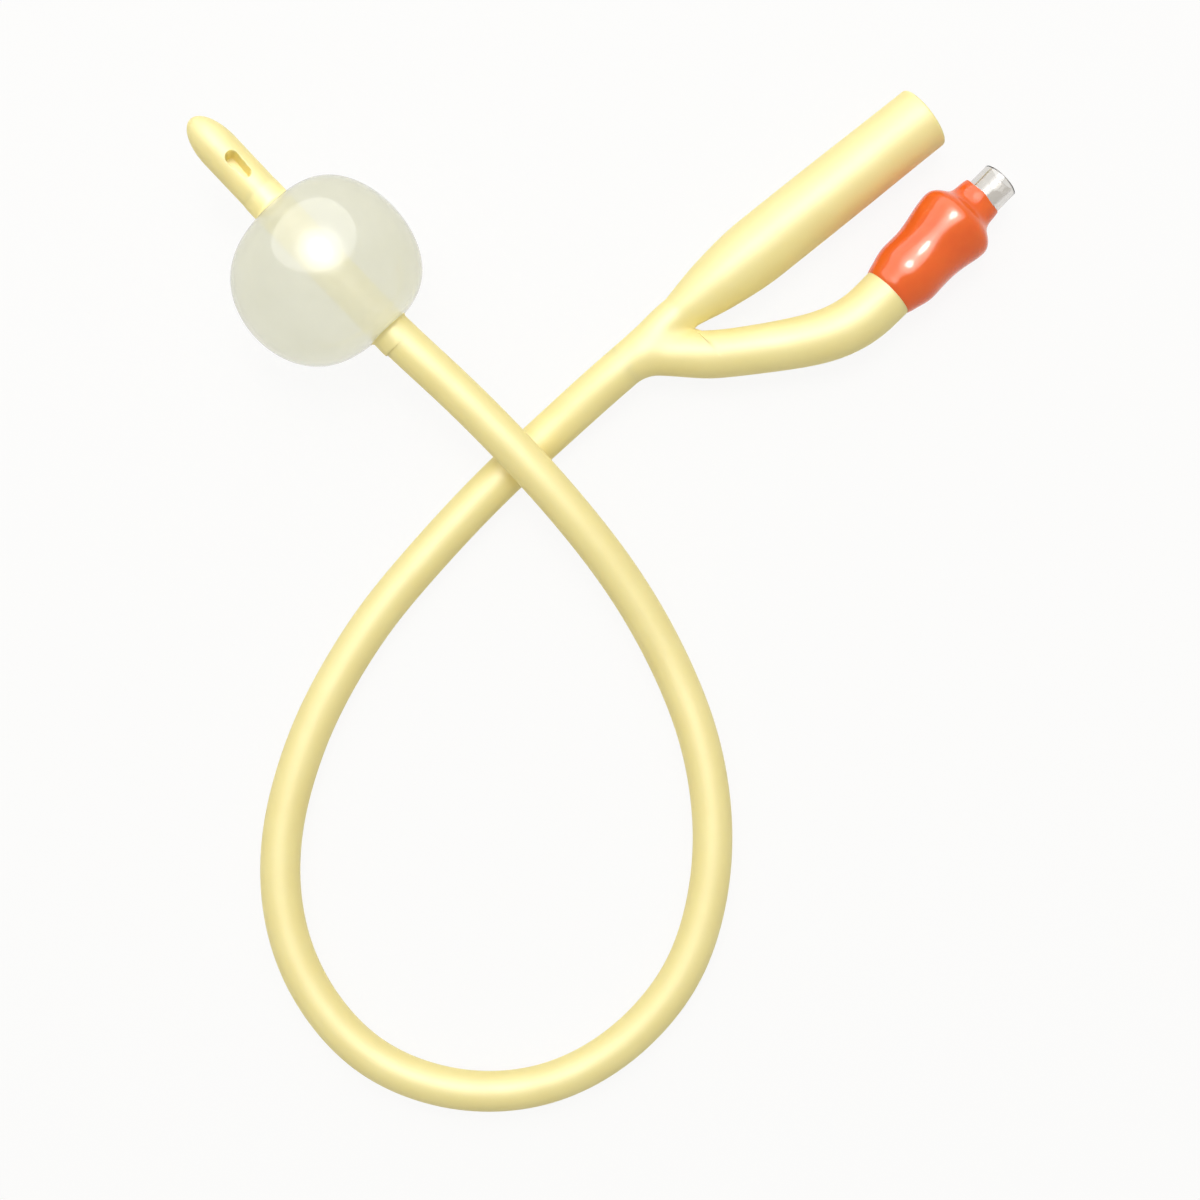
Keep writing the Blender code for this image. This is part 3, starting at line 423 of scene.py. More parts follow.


# The shaft, a 6 mm latex tube. Its route as seen from above is listed tip first.

shaftRoute = [
    (-0.0091, 0.0740), (-0.0078, 0.0587), (-0.0065, 0.0434), (-0.0053, 0.0316),
    (-0.0038, 0.0217), (-0.0027, 0.0129), (-0.0019, 0.0039), (-0.0015, -0.0050),
    (-0.0016, -0.0141), (-0.0025, -0.0233), (-0.0043, -0.0324), (-0.0071, -0.0413),
    (-0.0112, -0.0496), (-0.0166, -0.0571), (-0.0233, -0.0635), (-0.0312, -0.0684),
    (-0.0401, -0.0709), (-0.0493, -0.0711), (-0.0583, -0.0688), (-0.0661, -0.0640),
    (-0.0724, -0.0570), (-0.0763, -0.0487), (-0.0773, -0.0396), (-0.0758, -0.0306),
    (-0.0719, -0.0222), (-0.0660, -0.0149), (-0.0588, -0.0090), (-0.0508, -0.0042),
    (-0.0423, -0.0005), (-0.0335, 0.0023), (-0.0245, 0.0042), (-0.0153, 0.0057),
    (-0.0062, 0.0068), (0.0029, 0.0075), (0.0120, 0.0080), (0.0203, 0.0083),
]

shaft = {
    "diameter": 6.0 * mm,
    "radius": 3.0 * mm,
    "radiusAtFork": 3.2 * mm,
    "thickening": 70 * mm,
    "nose": 6.0 * mm,
    "noseRings": 30,
    "crossingAt": 67.2 * mm,
    "crossingHeight": 9.85 * mm,
    "downRamp": 45 * mm,
    "forkRamp": 18 * mm,
    "sides": 144,
    "spacing": 1.1 * mm,
    "cordPoints": 300,
}

eyes = {
    "at": (9.8 * mm, 11.2 * mm),
    "turn": (79.0, 259.0),  # degrees round the shaft from its left side
    "length": 4.5 * mm,
    "width": 1.7 * mm,
    "narrowing": 0.3,  # of the width, towards the funnel
    "lip": 0.22 * mm,
    "depth": 2.9 * mm,
    "region": (6.0 * mm, 15.2 * mm),
    "spacing": 0.055 * mm,
    "gather": 0.3,  # how much closer together the shaft's points stand at both eyes
}

balloon = {
    "at": 28.8 * mm,
    "sideways": 1.1 * mm,  # how far its widest part lies to the right of the shaft
    "radius": 13.85 * mm,
    "halfLength": 12.1 * mm,
    "fullness": 0.68,
    "wall": 0.3 * mm,
    "cuff": 2.6 * mm,
    "cuffFrom": 0.25 * mm,  # past the half length
    "cuffFade": 0.6 * mm,
    "film": 0.07 * mm,  # how far a cuff stands proud of the shaft
    "filmAtEnd": 0.01 * mm,
    "liningDrop": 0.02 * mm,
    "bite": 0.05 * mm,  # how far its hidden side reaches into the shaft
    "sides": 144,
    "steps": 110,
    "liningSteps": 80,
    "cuffSteps": 8,
}

fork = {
    "crotchX": 29.8 * mm,  # as meant; makeFork finds where the blended skin really parts
    "crotchY": 6.1 * mm,
    "height": 5.15 * mm,
    "funnelY": 9.35 * mm,
    "funnelLength": 47.2 * mm,
    "funnelRadius": 5.15 * mm,
    "neckRadius": 2.8 * mm,
    "mouthRadius": 5.0 * mm,
    "flare": 16 * mm,
    "taperFrom": 24 * mm,
    "wall": 1.35 * mm,
    "rim": 0.45 * mm,
    "lip": 0.27 * mm,
    "neckBore": 1.5 * mm,
    "boreEnd": 0.5 * mm,  # past crotchX
    "fill": 1.4 * mm,
    "armRadiusAtCrotch": 3.6 * mm,
    "armRadius": 4.15 * mm,
    "armTurnIn": 6 * mm,
    "neckInSleeve": 3.3 * mm,
    "skin": 0.015 * mm,  # the fork's skin over the end of the shaft
    "overlap": 2.0 * mm,
    "dive": 0.045 * mm,  # how much narrower its first ring is, to end under the shaft's skin
    "sides": 96,
    "spacing": 0.5 * mm,
    "ringGap": 0.6 * mm,
    "trunkReach": 6 * mm,
    "trunkBalls": 60,
    "balls": 260,
    "trunkRay": 0.3 * mm,  # how far from its ring's centre a ray starts
    "branchRay": 1.5 * mm,
    "arcRay": 0.2 * mm,
    "rayWalks": 30,  # few enough that no ray creeps on through the web
    "arcWalks": 40,
    "search": 2 * mm,
    "searchSteps": 81,
    "webLeft": 0.5 * mm,  # between the crotch and the last ring that funnel and arm share
    "funnelStart": (0.9 * mm, 1.4 * mm),  # its first two rings, past that ring
    "funnelBlend": (5.6 * mm, 10.4 * mm),  # where the blended skin gives way to the plain radius
    "armStart": (0.5 * mm, 1.1 * mm),  # its own, past armCrotch rather than the crotch that is found
    "armBlend": (7.5 * mm, 10.5 * mm),
    "armSeam": 12 * mm,  # over which the arm's seam turns to the top
    "neckRings": (0.0, 0.25 * mm, 0.5 * mm, 2.3 * mm),  # past the arm's end
    "rimSteps": 7,
    "boreRings": 60,
    "endPoints": 200,  # of the shaft's curve, which cover the trunk
}

armRoute = [
    (0.0223, 0.0076), (0.0256, 0.00495), (0.02905, 0.00205), (0.0347, -0.00165),
    (0.04045, -0.00495), (0.0458, -0.00735), (0.0508, -0.00825),
]

valve = {
    "start": (56.4 * mm, -7.8 * mm, 6.05 * mm),
    "heading": 6.4,  # degrees from +X
    "armEnd": 2.3 * mm,
}

shaftCurve, shaftDistance = splineThrough(shaftRoute)
shaftEnd = shaftDistance[-1]
rootX, rootY = shaftRoute[-1]
valveHeading = math.radians(valve["heading"])
valveWay = np.array([math.cos(valveHeading), math.sin(valveHeading), 0.0])
valveStart = np.array(valve["start"])


def shaftRadius(at):
    share = ease((at - (shaftEnd - shaft["thickening"])) / shaft["thickening"])
    return shaft["radius"] + (shaft["radiusAtFork"] - shaft["radius"]) * share


def shaftHeight(at):
    # A straight slope from the middle of the balloon over the crossing, a curve down to the table that
    # starts with that slope and ends level, and a rise to the height of the fork
    slope = (balloon["radius"] - shaft["crossingHeight"]) / (shaft["crossingAt"] - balloon["at"])
    past = at - shaft["crossingAt"]
    share = np.clip(past / shaft["downRamp"], 0.0, 1.0)
    rest = shaftRadius(at)
    down = rest + (shaft["crossingHeight"] - rest) * (1 + 2 * share) * (1 - share) ** 2
    down -= slope * shaft["downRamp"] * share * (1 - share) ** 2
    rise = (fork["height"] - rest) * ease((at - shaftEnd + shaft["forkRamp"]) / shaft["forkRamp"])
    return np.where(past < 0, shaft["crossingHeight"] - slope * past, down + rise)


def shaftAxis(at):
    return np.column_stack([readCurve(shaftCurve, shaftDistance, at), shaftHeight(at)])


def shaftForward(at):
    before, after = np.maximum(at - slopeStep, 0.0), np.minimum(at + slopeStep, shaftEnd)
    return unit(shaftAxis(after) - shaftAxis(before))


def eyeSink(at, radius, turns, eyeAt, eyeTurn):
    # How far each point of the skin sinks for one eye: from its lip down to the far side of the bore, by
    # how far the point lies inside a slot with round ends
    around = (turns - eyeTurn + math.pi) % (2 * math.pi) - math.pi
    straight = np.maximum(np.abs(at - eyeAt) - (eyes["length"] - eyes["width"]) / 2, 0.0)
    wide = eyes["width"] * (1 - eyes["narrowing"] * ease((at - eyeAt) / eyes["length"] + 0.5))
    beyond = np.hypot(straight[:, None], radius[:, None] * around) - wide[:, None] / 2
    return eyes["depth"] * ease((eyes["lip"] - beyond) / (2 * eyes["lip"]))


def makeShaft(look):
    # Tube of radius R along the route. The nose is half an ellipsoid: R sin q at nose (1 - cos q). At the
    # eyes the skin moves straight in.
    quarter = np.linspace(0.0, math.pi / 2, shaft["noseRings"])[1:]
    nose = shaft["nose"] * (1 - np.cos(quarter))
    start, end = eyes["region"]
    eyed = np.linspace(start, end, round((end - start) / eyes["spacing"]))[1:]
    plain = np.linspace(end, shaftEnd, round((shaftEnd - end) / shaft["spacing"]))[1:]
    at = np.concatenate([nose, eyed, plain])
    radius = np.concatenate([shaft["radius"] * np.sin(quarter), shaftRadius(np.concatenate([eyed, plain]))])
    even = evenTurns(shaft["sides"])
    turns = even - eyes["gather"] * np.sin(2 * (even - math.radians(eyes["turn"][0])))
    centres, forward = shaftAxis(at), shaftForward(at)
    rings = tubeRings(centres, forward, radius[:, None], turns)
    left, top = crossAxes(forward)
    for eyeAt, degrees in zip(eyes["at"], eyes["turn"]):
        eyeTurn = math.radians(degrees)
        outwards = left * math.cos(eyeTurn) + top * math.sin(eyeTurn)
        rings -= outwards[:, None] * eyeSink(at, radius, turns, eyeAt, eyeTurn)[..., None]
    numbers = numbered(rings)
    pole = numbers.size
    points = np.concatenate([rings.reshape(-1, 3), shaftAxis(np.array([0.0])), centres[-1:]])
    faces = [bridge(numbers[:-1], numbers[1:]), fan(numbers[0], pole), fan(numbers[-1], pole + 1)]
    piece = makePiece("catheterShaft", points, faces, look, "catheter", sharp=60)
    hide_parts("catheter_body")
    return piece


# The fork: funnel and side arm part from the shaft. Its skin is the blended outside of two strings of balls.

def forkPlaces(x, y):
    # Places at the fork's own height
    return np.column_stack(np.broadcast_arrays(x, y, fork["height"]))


def funnelRadius(past):
    # Radius at a distance past crotchX: a quarter sine wave up the flare, then a slight taper
    flared = np.sin(math.pi / 2 * np.clip(past / fork["flare"], 0.0, 1.0))
    wide = fork["neckRadius"] + (fork["funnelRadius"] - fork["neckRadius"]) * flared
    taper = ease((past - fork["taperFrom"]) / (fork["funnelLength"] - fork["taperFrom"]))
    return wide - (fork["funnelRadius"] - fork["mouthRadius"]) * taper


def funnelBalls():
    # Centres and radii of balls strung along the trunk and the funnel's axis
    trunk = shaftEnd - np.linspace(fork["trunkReach"], 0.0, fork["trunkBalls"])
    x = np.linspace(rootX, fork["crotchX"] + fork["flare"], fork["balls"])[1:]
    share = (x - rootX) / (fork["crotchX"] - rootX)
    y = rootY + (fork["funnelY"] - rootY) * ease(share)
    joined = shaft["radiusAtFork"] + (fork["neckRadius"] - shaft["radiusAtFork"]) * np.clip(share, 0.0, 1.0)
    radius = np.where(share < 1, joined, funnelRadius(x - fork["crotchX"]))
    centres = np.concatenate([shaftAxis(trunk), forkPlaces(x, y)])
    return centres, np.concatenate([shaftRadius(trunk), radius]) + fork["skin"]


armCurve, armDistance = splineThrough([
    *armRoute, valveStart[:2], (valveStart + valveWay * valve["armEnd"])[:2],
])
armCrotch = float(armDistance[np.argmin(np.abs(armCurve[:, 0] - fork["crotchX"]))])
armEnd = float(armDistance[np.argmin(np.linalg.norm(armCurve - valveStart[:2], axis=1))])


def armShare(at):
    return ease((at - armCrotch) / (armEnd - armCrotch))


def armAxis(at):
    height = fork["height"] + (valveStart[2] - fork["height"]) * armShare(at)
    return np.column_stack([readCurve(armCurve, armDistance, at), height])


def armRadius(at):
    toCrotch = fork["armRadiusAtCrotch"] - shaft["radiusAtFork"]
    toEnd = fork["armRadius"] - fork["armRadiusAtCrotch"]
    return shaft["radiusAtFork"] + toCrotch * np.clip(at / armCrotch, 0.0, 1.0) + toEnd * armShare(at)


def armBalls():
    at = np.linspace(0.0, armCrotch + fork["flare"], fork["balls"])
    return armAxis(at), armRadius(at)


balls = [funnelBalls(), armBalls()]


def nearestBall(points, centres, radii):
    # Distance to the nearest ball of a string, below nothing inside it
    far = (points**2).sum(-1)[:, None] + (centres**2).sum(-1) - 2 * points @ centres.T
    return (np.sqrt(np.maximum(far, 0.0)) - radii).min(axis=1)


def forkDistance(points):
    # Distance to the nearer string of balls, less a quarter of the fill times the square of how much the
    # two distances agree, which rounds the corner between them
    toFunnel, toArm = (nearestBall(points, *string) for string in balls)
    agree = np.maximum(fork["fill"] - np.abs(toFunnel - toArm), 0.0) / fork["fill"]
    return np.minimum(toFunnel, toArm) - agree**2 * fork["fill"] / 4


def walkOut(origins, ways, start, walks):
    # From inside, each ray walks on by the distance still left to the skin, until it meets it
    out = np.full(ways.shape[:-1], start)
    for walk in range(walks):
        points = origins + ways * out[..., None]
        out -= forkDistance(points.reshape(-1, 3)).reshape(out.shape)
    return out


def reachOut(centres, heading, turns, start):
    ways = tubeRings(centres, heading, 1.0, turns) - centres[:, None]
    return walkOut(centres[:, None], ways, start, fork["rayWalks"])


def blendedRings(centres, heading, radius, turns, blend):
    # Rings of the plain radius where blend is 0, and out to the blended skin where it is 1
    reach = radius[:, None] + np.zeros(fork["sides"])
    near = blend > 0
    solved = reachOut(centres[near], heading[near], turns[near], fork["branchRay"])
    reach[near] += (solved - reach[near]) * blend[near, None]
    return tubeRings(centres, heading, reach, turns)


def blendAway(past, stretch):
    # 1 before the stretch and 0 after it
    return ease((stretch[1] - past) / (stretch[1] - stretch[0]))


def seamTurns(seam):
    # A ring of turns from the top seam past the left side to the bottom seam, and back on the right
    half = fork["sides"] // 2
    share = np.arange(half) / half
    seam = np.atleast_1d(seam)[:, None]
    return np.radians(np.concatenate([seam - 2 * seam * share, -seam - (360 - 2 * seam) * share], axis=1))


def ringPlaces(starts, end):
    # Two given places, then evenly on to just before the end
    places = np.concatenate([starts[:1], np.arange(starts[1], end, fork["ringGap"])])
    return places[places < end - fork["ringGap"] / 2]


def trunkRings(lastX):
    # Rings square to X over trunk and web, round a line from the shaft's axis to the middle of the web.
    # The first ring dives under the shaft's skin.
    startX = rootX - fork["overlap"]
    x = np.linspace(startX, lastX, round((lastX - startX) / fork["spacing"]))
    axis = shaftAxis(shaftDistance[-fork["endPoints"] :])
    y = np.interp(x, axis[:, 0], axis[:, 1])
    y += (fork["crotchY"] - y) * ease((x - rootX) / (lastX - rootX))
    centres = np.column_stack([x, y, np.interp(x, axis[:, 0], axis[:, 2])])
    turns = seamTurns(np.full(len(x), 90.0))
    heading = np.broadcast_to(alongX, centres.shape)
    reach = reachOut(centres, heading, turns, fork["trunkRay"])
    reach[0] -= fork["dive"]
    return tubeRings(centres, heading, reach, turns), centres


def crotchArc(middle):
    # Rays from the web's middle, in the upright plane along X, meet the inside of the crotch
    fromTop = np.linspace(math.pi / 2, -math.pi / 2, fork["sides"] // 2 + 1)[1:-1]
    ways = np.column_stack([np.cos(fromTop), np.zeros_like(fromTop), np.sin(fromTop)])
    return middle + ways * walkOut(middle, ways, fork["arcRay"], fork["arcWalks"])[:, None]


def funnelRings(lastX, web):
    # The funnel's outside. Its seam starts at the web's edge and turns to the top on the way.
    rimAt = fork["funnelLength"] - fork["rim"]
    past = ringPlaces(lastX - fork["crotchX"] + np.array(fork["funnelStart"]), rimAt)
    past = np.append(past, rimAt)
    centres = forkPlaces(fork["crotchX"] + past, fork["funnelY"])
    seam = math.degrees(math.atan2(web, fork["crotchY"] - fork["funnelY"]))
    turns = seamTurns(seam + (90.0 - seam) * ease(past / fork["flare"]))
    heading = np.broadcast_to(alongX, centres.shape)
    return blendedRings(centres, heading, funnelRadius(past), turns, blendAway(past, fork["funnelBlend"]))


def boreRings():
    # A quarter circle over the rim and one over the lip, then the bore back down to the neck
    turn = np.linspace(0.0, math.pi / 2, fork["rimSteps"])[1:]
    rimAt = fork["funnelLength"] - fork["rim"] * (1 - np.sin(turn))
    rimRadius = fork["mouthRadius"] - fork["rim"] * (1 - np.cos(turn))
    lipAt = fork["funnelLength"] - fork["lip"] * (1 - np.cos(turn))
    lipRadius = fork["mouthRadius"] - fork["wall"] + fork["lip"] * (1 - np.sin(turn))
    boreAt = np.linspace(fork["funnelLength"] - fork["lip"], fork["boreEnd"], fork["boreRings"])[1:]
    boreRadius = np.maximum(funnelRadius(boreAt) - fork["wall"], fork["neckBore"])
    at = np.concatenate([rimAt, lipAt, boreAt])
    radius = np.concatenate([rimRadius, lipRadius, boreRadius])[:, None]
    centres = forkPlaces(fork["crotchX"] + at, fork["funnelY"])
    return tubeRings(centres, alongX, radius, seamTurns(90.0)), centres


def armRings(web):
    # The arm, as the funnel, ending in the thinner neck that the sleeve covers
    at = ringPlaces(armCrotch + np.array(fork["armStart"]), armEnd)
    at = np.concatenate([at, armEnd + np.array(fork["neckRings"])])
    radius = np.where(at > armEnd, fork["neckInSleeve"], armRadius(at))
    centres = armAxis(at)
    past = at - armCrotch
    along = unit(armAxis(at + slopeStep) - armAxis(at - slopeStep))
    turnedIn = ease(past / fork["armTurnIn"])[:, None]
    heading = unit(alongX * (1 - turnedIn) + along * turnedIn)
    seam = math.degrees(math.atan2(web, fork["crotchY"] - float(centres[0, 1])))
    turns = seamTurns(seam + (90.0 - seam) * ease(past / fork["armSeam"]))
    return blendedRings(centres, heading, radius, turns, blendAway(past, fork["armBlend"])), centres


def makeFork(look):
    # Rings over trunk and web; an arc round the inside of the crotch, which with each half of the last of
    # them makes the first ring of funnel and of arm; then a row of rings up the funnel and down its bore,
    # and one up the arm
    search = fork["crotchX"] + np.linspace(-fork["search"], fork["search"], fork["searchSteps"])
    notchX = search[np.argmax(forkDistance(forkPlaces(search, fork["crotchY"])) > 0)]
    print(f"the crotch is at x = {notchX / mm:.2f} mm")
    lastX = notchX - fork["webLeft"]
    trunk, trunkCentres = trunkRings(lastX)
    saddle = crotchArc(trunkCentres[-1])
    web = float(trunk[-1, 0, 2] - fork["height"])
    bore, boreCentres = boreRings()
    funnel = np.concatenate([funnelRings(lastX, web), bore])
    arm, armCentres = armRings(web)

    rings = numbered(trunk)
    arc = rings.size + np.arange(len(saddle))
    up = numbered(funnel, arc[-1] + 1)
    side = numbered(arm, up[-1, -1] + 1)
    pole = side[-1, -1] + 1
    half = fork["sides"] // 2
    last = rings[-1]
    funnelStart = np.concatenate([last[: half + 1], arc[::-1]])
    armStart = np.concatenate([last[:1], arc, last[half:]])
    points = [trunk.reshape(-1, 3), saddle, funnel.reshape(-1, 3), arm.reshape(-1, 3)]
    points = np.concatenate([*points, trunkCentres[:1], boreCentres[-1:], armCentres[-1:]])
    faces = [
        bridge(rings[:-1], rings[1:]),
        bridge(funnelStart, up[0]),
        bridge(up[:-1], up[1:]),
        bridge(armStart, side[0]),
        bridge(side[:-1], side[1:]),
        fan(rings[0], pole),
        fan(up[-1], pole + 1),
        fan(side[-1], pole + 2),
    ]
    piece = makePiece("catheterFork", points, faces, look, "catheter", sharp=60)
    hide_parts("catheter_body")


# The balloon.

def bulge(radius, half, cuffRadius, steps):
    # half sin q along the shaft and radius (cos q) to the power of fullness across, out to the cuffs
    last = math.acos((cuffRadius / radius) ** (1 / balloon["fullness"]))
    q = np.linspace(-last, last, steps)
    return half * np.sin(q), radius * np.cos(q) ** balloon["fullness"]


def makeBalloon(skinLook, insideLook, cuffLook):
    # The bulge turned about the shaft, as a closed skin with an outside and an inside, which run out into
    # a cuff at each end. Each ring moves to the right of the shaft by its share of the whole bulge.
    wall, end = balloon["wall"], balloon["halfLength"] + balloon["cuff"]
    outside = shaft["radius"] + balloon["film"]
    along, across = bulge(balloon["radius"], balloon["halfLength"], outside + wall, balloon["steps"])
    liningRadius, liningHalf = balloon["radius"] - wall, balloon["halfLength"] - wall
    liningAlong, liningAcross = bulge(
        liningRadius, liningHalf, outside - balloon["liningDrop"], balloon["liningSteps"],
    )
    cuffAlong = np.linspace(balloon["halfLength"] + balloon["cuffFrom"], end, balloon["cuffSteps"])
    fade = ease((cuffAlong - end + balloon["cuffFade"]) / balloon["cuffFade"])
    cuffAcross = outside - (balloon["film"] - balloon["filmAtEnd"]) * fade
    under = [shaft["radius"] - balloon["bite"]]
    at = np.concatenate([-cuffAlong[::-1], along, cuffAlong, [end], liningAlong[::-1], [-end]])
    radius = np.concatenate([cuffAcross[::-1], across, cuffAcross, under, liningAcross[::-1], under])

    middle = np.array([balloon["at"]])
    forward = shaftForward(middle)
    share = np.maximum((radius - shaft["radius"]) / (balloon["radius"] - shaft["radius"]), 0.0)[:, None]
    centres = shaftAxis(middle) + forward * at[:, None] - crossAxes(forward)[0] * balloon["sideways"] * share
    rings = tubeRings(centres, forward, radius[:, None], evenTurns(balloon["sides"]))
    numbers = numbered(rings)
    first, last = len(cuffAlong), len(cuffAlong) + len(along)
    lining = last + len(cuffAlong)
    faces = [
        bridge(numbers[:first], numbers[1 : first + 1]),
        bridge(numbers[first : last - 1], numbers[first + 1 : last]),
        bridge(numbers[last - 1 : lining], numbers[last : lining + 1]),
        bridge(numbers[lining:], np.roll(numbers, -1, axis=0)[lining:]),
    ]
    looks = [cuffLook, skinLook, cuffLook, insideLook]
    points = rings.reshape(-1, 3)
    piece = makePiece("frostedBalloonSkin", points, faces, looks, "catheter", sharp=50)
    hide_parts("balloon")
    return piece


# Turned pieces on the valve axis. An outline is (station, radius) in millimetres, once round a closed
# shape, or from the axis back to it. A corner is how much of each side its rounding takes, in millimetres.

valvePieces = {
    "valveHousing": {
        "node": "valve_housing", "slot": "clear_plastic", "body": "catheter", "corner": 0.16, "sides": 96,
        "outline": [
            (23.5, 3.0), (16.75, 3.0), (14.35, 5.3), (12.95, 5.3), (9.15, 4.2), (4.5, 4.2), (4.5, 3.0),
            (14.0, 3.0), (14.0, 1.2), (15.6, 1.2), (15.6, 1.913), (23.5, 2.15),
        ],
    },
    "valveInsert": {
        "node": "valve_insert", "slot": "white_plastic", "body": "catheter", "corner": 0.08, "sides": 64,
        "outline": [
            (7.5, 2.7), (4.2, 2.7), (4.2, 4.3), (2.6, 4.3), (2.6, 1.7), (0.07, 1.7), (0.07, 2.0), (-1.2, 1.7),
            (-2.47, 1.7), (-2.47, 2.0), (-3.73, 1.7), (-5.0, 1.7), (-5.0, 1.25), (7.5, 1.25),
        ],
    },
    "valvePlunger": {
        "node": "valve_plunger", "slot": "white_plastic", "body": "plunger", "corner": 0, "sides": 64,
        "outline": [
            (17.6, 0.0), (17.6, 0.3), (17.52, 0.48), (17.2, 0.74), (17.0, 0.8), (12.95, 0.8), (12.9, 0.85),
            (12.9, 2.2), (12.8, 2.3), (12.1, 2.3), (12.0, 2.2), (12.0, 0.95), (11.95, 0.9), (8.1, 0.9),
            (8.0, 0.8), (8.0, 0.0),
        ],
    },
    "valveSeal": {
        "node": "valve_seal", "slot": "seal_rubber", "body": "plunger", "corner": 0.15, "sides": 64,
        "outline": [(13.8, 1.0), (13.8, 2.3), (13.1, 2.3), (13.1, 1.0)],
    },
}


def rounded(corners, size, most=0.4, steps=4):
    # Rounds each corner of a closed outline with a curve that leaves and meets its sides at that distance,
    # and at most at that share of a side: (1 - t) squared of the one end, 2 t (1 - t) of the corner,
    # t squared of the other end
    corners = np.array(corners, float)
    share = np.linspace(0.0, 1.0, steps + 1)[:, None]
    ends = []
    for side in (np.roll(corners, 1, 0) - corners, np.roll(corners, -1, 0) - corners):
        length = np.linalg.norm(side, axis=1, keepdims=True)
        ends.append((corners + side / length * np.minimum(size, most * length))[:, None])
    bent = ends[0] * (1 - share) ** 2 + corners[:, None] * 2 * share * (1 - share) + ends[1] * share**2
    return bent.reshape(-1, 2)


def turnedPiece(name, look):
    # Each outline point goes once round the axis: axis at its station + radius (left cos turn + top sin turn)
    shape = valvePieces[name]
    outline = rounded(shape["outline"], shape["corner"]) if shape["corner"] else shape["outline"]
    at, radius = np.array(outline, float).T * mm
    closed = radius.min() > 0
    inner = slice(None) if closed else slice(1, -1)
    centres = valveStart + valveWay * at[:, None]
    rings = tubeRings(centres[inner], valveWay, radius[inner, None], evenTurns(shape["sides"]))
    numbers = numbered(rings)
    points = rings.reshape(-1, 3)
    if closed:
        faces = [bridge(numbers, np.roll(numbers, -1, axis=0))]
    else:
        pole = len(points)
        faces = [bridge(numbers[:-1], numbers[1:]), fan(numbers[0], pole), fan(numbers[-1], pole + 1)]
        points = np.concatenate([points, centres[[0, -1]]])
    piece = makePiece(name, points, faces, look, shape["body"], sharp=35)
    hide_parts(shape["node"])


sleeve = {
    # Outside as the dip leaves it: over the arm's end, the flange, the waist, the shoulder and the port
    "outside": [
        (-0.35, 4.2), (0.0, 4.36), (0.9, 4.62), (2.2, 4.98), (3.6, 5.24), (5.2, 5.24), (6.8, 5.2),
        (8.6, 5.32), (10.4, 5.62), (12.2, 5.98), (13.5, 6.16), (14.6, 6.06), (15.4, 5.5), (16.1, 4.65),
        (16.9, 3.92), (17.8, 3.64), (18.8, 3.54), (19.45, 3.42),
    ],
    "inside": [
        (19.5, 3.1), (17.2, 3.05), (14.5, 5.4), (12.9, 5.4), (9.1, 4.4), (2.4, 4.5), (2.3, 3.5), (0.4, 3.5),
        (0.1, 4.155), (-0.35, 4.155),
    ],
    "curvePoints": 600,
    "steps": 150,
    "sides": 128,
    "uneven": 0.08 * mm,
    "unevenTo": 18 * mm,
    # Crests round it, phase, drift of the phase in a metre along it, and share of the height
    "waves": ((2, 0.6, 0, 1.0), (3, 0.0, 300, 0.7), (5, 0.0, -500, 0.4)),
    "edge": (19.4 * mm, 0.8 * mm),  # where its front edge is, and how far back its waves are felt
    "edgeHeight": 0.14 * mm,
    "edgeWaves": ((2, 1.0, 1.0), (5, 0.0, 0.6)),  # crests, phase and share
    "lean": 0.25 * mm,  # the dip is thicker on the left of the shoulder and the port
    "leanFrom": 6 * mm,
    "leanOver": 6 * mm,
}


def makeSleeve(look):
    # A closed ring whose outside is a smooth curve through the measured stations. Its radius grows by
    # slow waves round it, highest near its middle, and other waves move its front edge to and fro. Each
    # wave is its share times sin (crests turn + phase + drift station).
    curve, distance = splineThrough(np.array(sleeve["outside"]) * mm, sleeve["curvePoints"])
    outside = readCurve(curve, distance, np.linspace(0.0, distance[-1], sleeve["steps"]))
    outline = np.concatenate([outside, np.array(sleeve["inside"]) * mm])
    at, radius = outline[:, :1], outline[:, 1:]
    onOutside = np.arange(len(outline))[:, None] < len(outside)
    turns = evenTurns(sleeve["sides"])
    waves = sum(
        share * np.sin(crests * turns + phase + drift * at) for crests, phase, drift, share in sleeve["waves"]
    )
    height = sleeve["uneven"] * np.sin(math.pi * np.clip(at / sleeve["unevenTo"], 0.0, 1.0)) * onOutside
    edgeAt, edgeReach = sleeve["edge"]
    nearEdge = np.exp(-((at - edgeAt) / edgeReach) ** 2)
    edgeWaves = sum(share * np.sin(crests * turns + phase) for crests, phase, share in sleeve["edgeWaves"])
    shift = sleeve["edgeHeight"] * nearEdge * edgeWaves
    lean = sleeve["lean"] * ease((at - sleeve["leanFrom"]) / sleeve["leanOver"]) * onOutside
    centres = valveStart + valveWay * at + crossAxes(valveWay)[0] * lean
    rings = tubeRings(centres, valveWay, radius + height * waves, turns) + valveWay * shift[..., None]
    rings[..., 2] = np.maximum(rings[..., 2], 0.0)  # it lies on the table
    numbers = numbered(rings)
    faces = [bridge(numbers, np.roll(numbers, -1, axis=0))]
    piece = makePiece("portSleeve", rings.reshape(-1, 3), faces, look, "catheter", sharp=60)
    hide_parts("port_sleeve")


spring = {
    "from": 7.83 * mm,
    "to": 11.67 * mm,
    "radius": 1.75 * mm,
    "wire": 0.18 * mm,
    "turns": 5,
    "stroke": 1.6 * mm,
    "eased": 0.5,  # how much of the climb is eased at the ends
    "points": 260,
    "sides": 16,
}


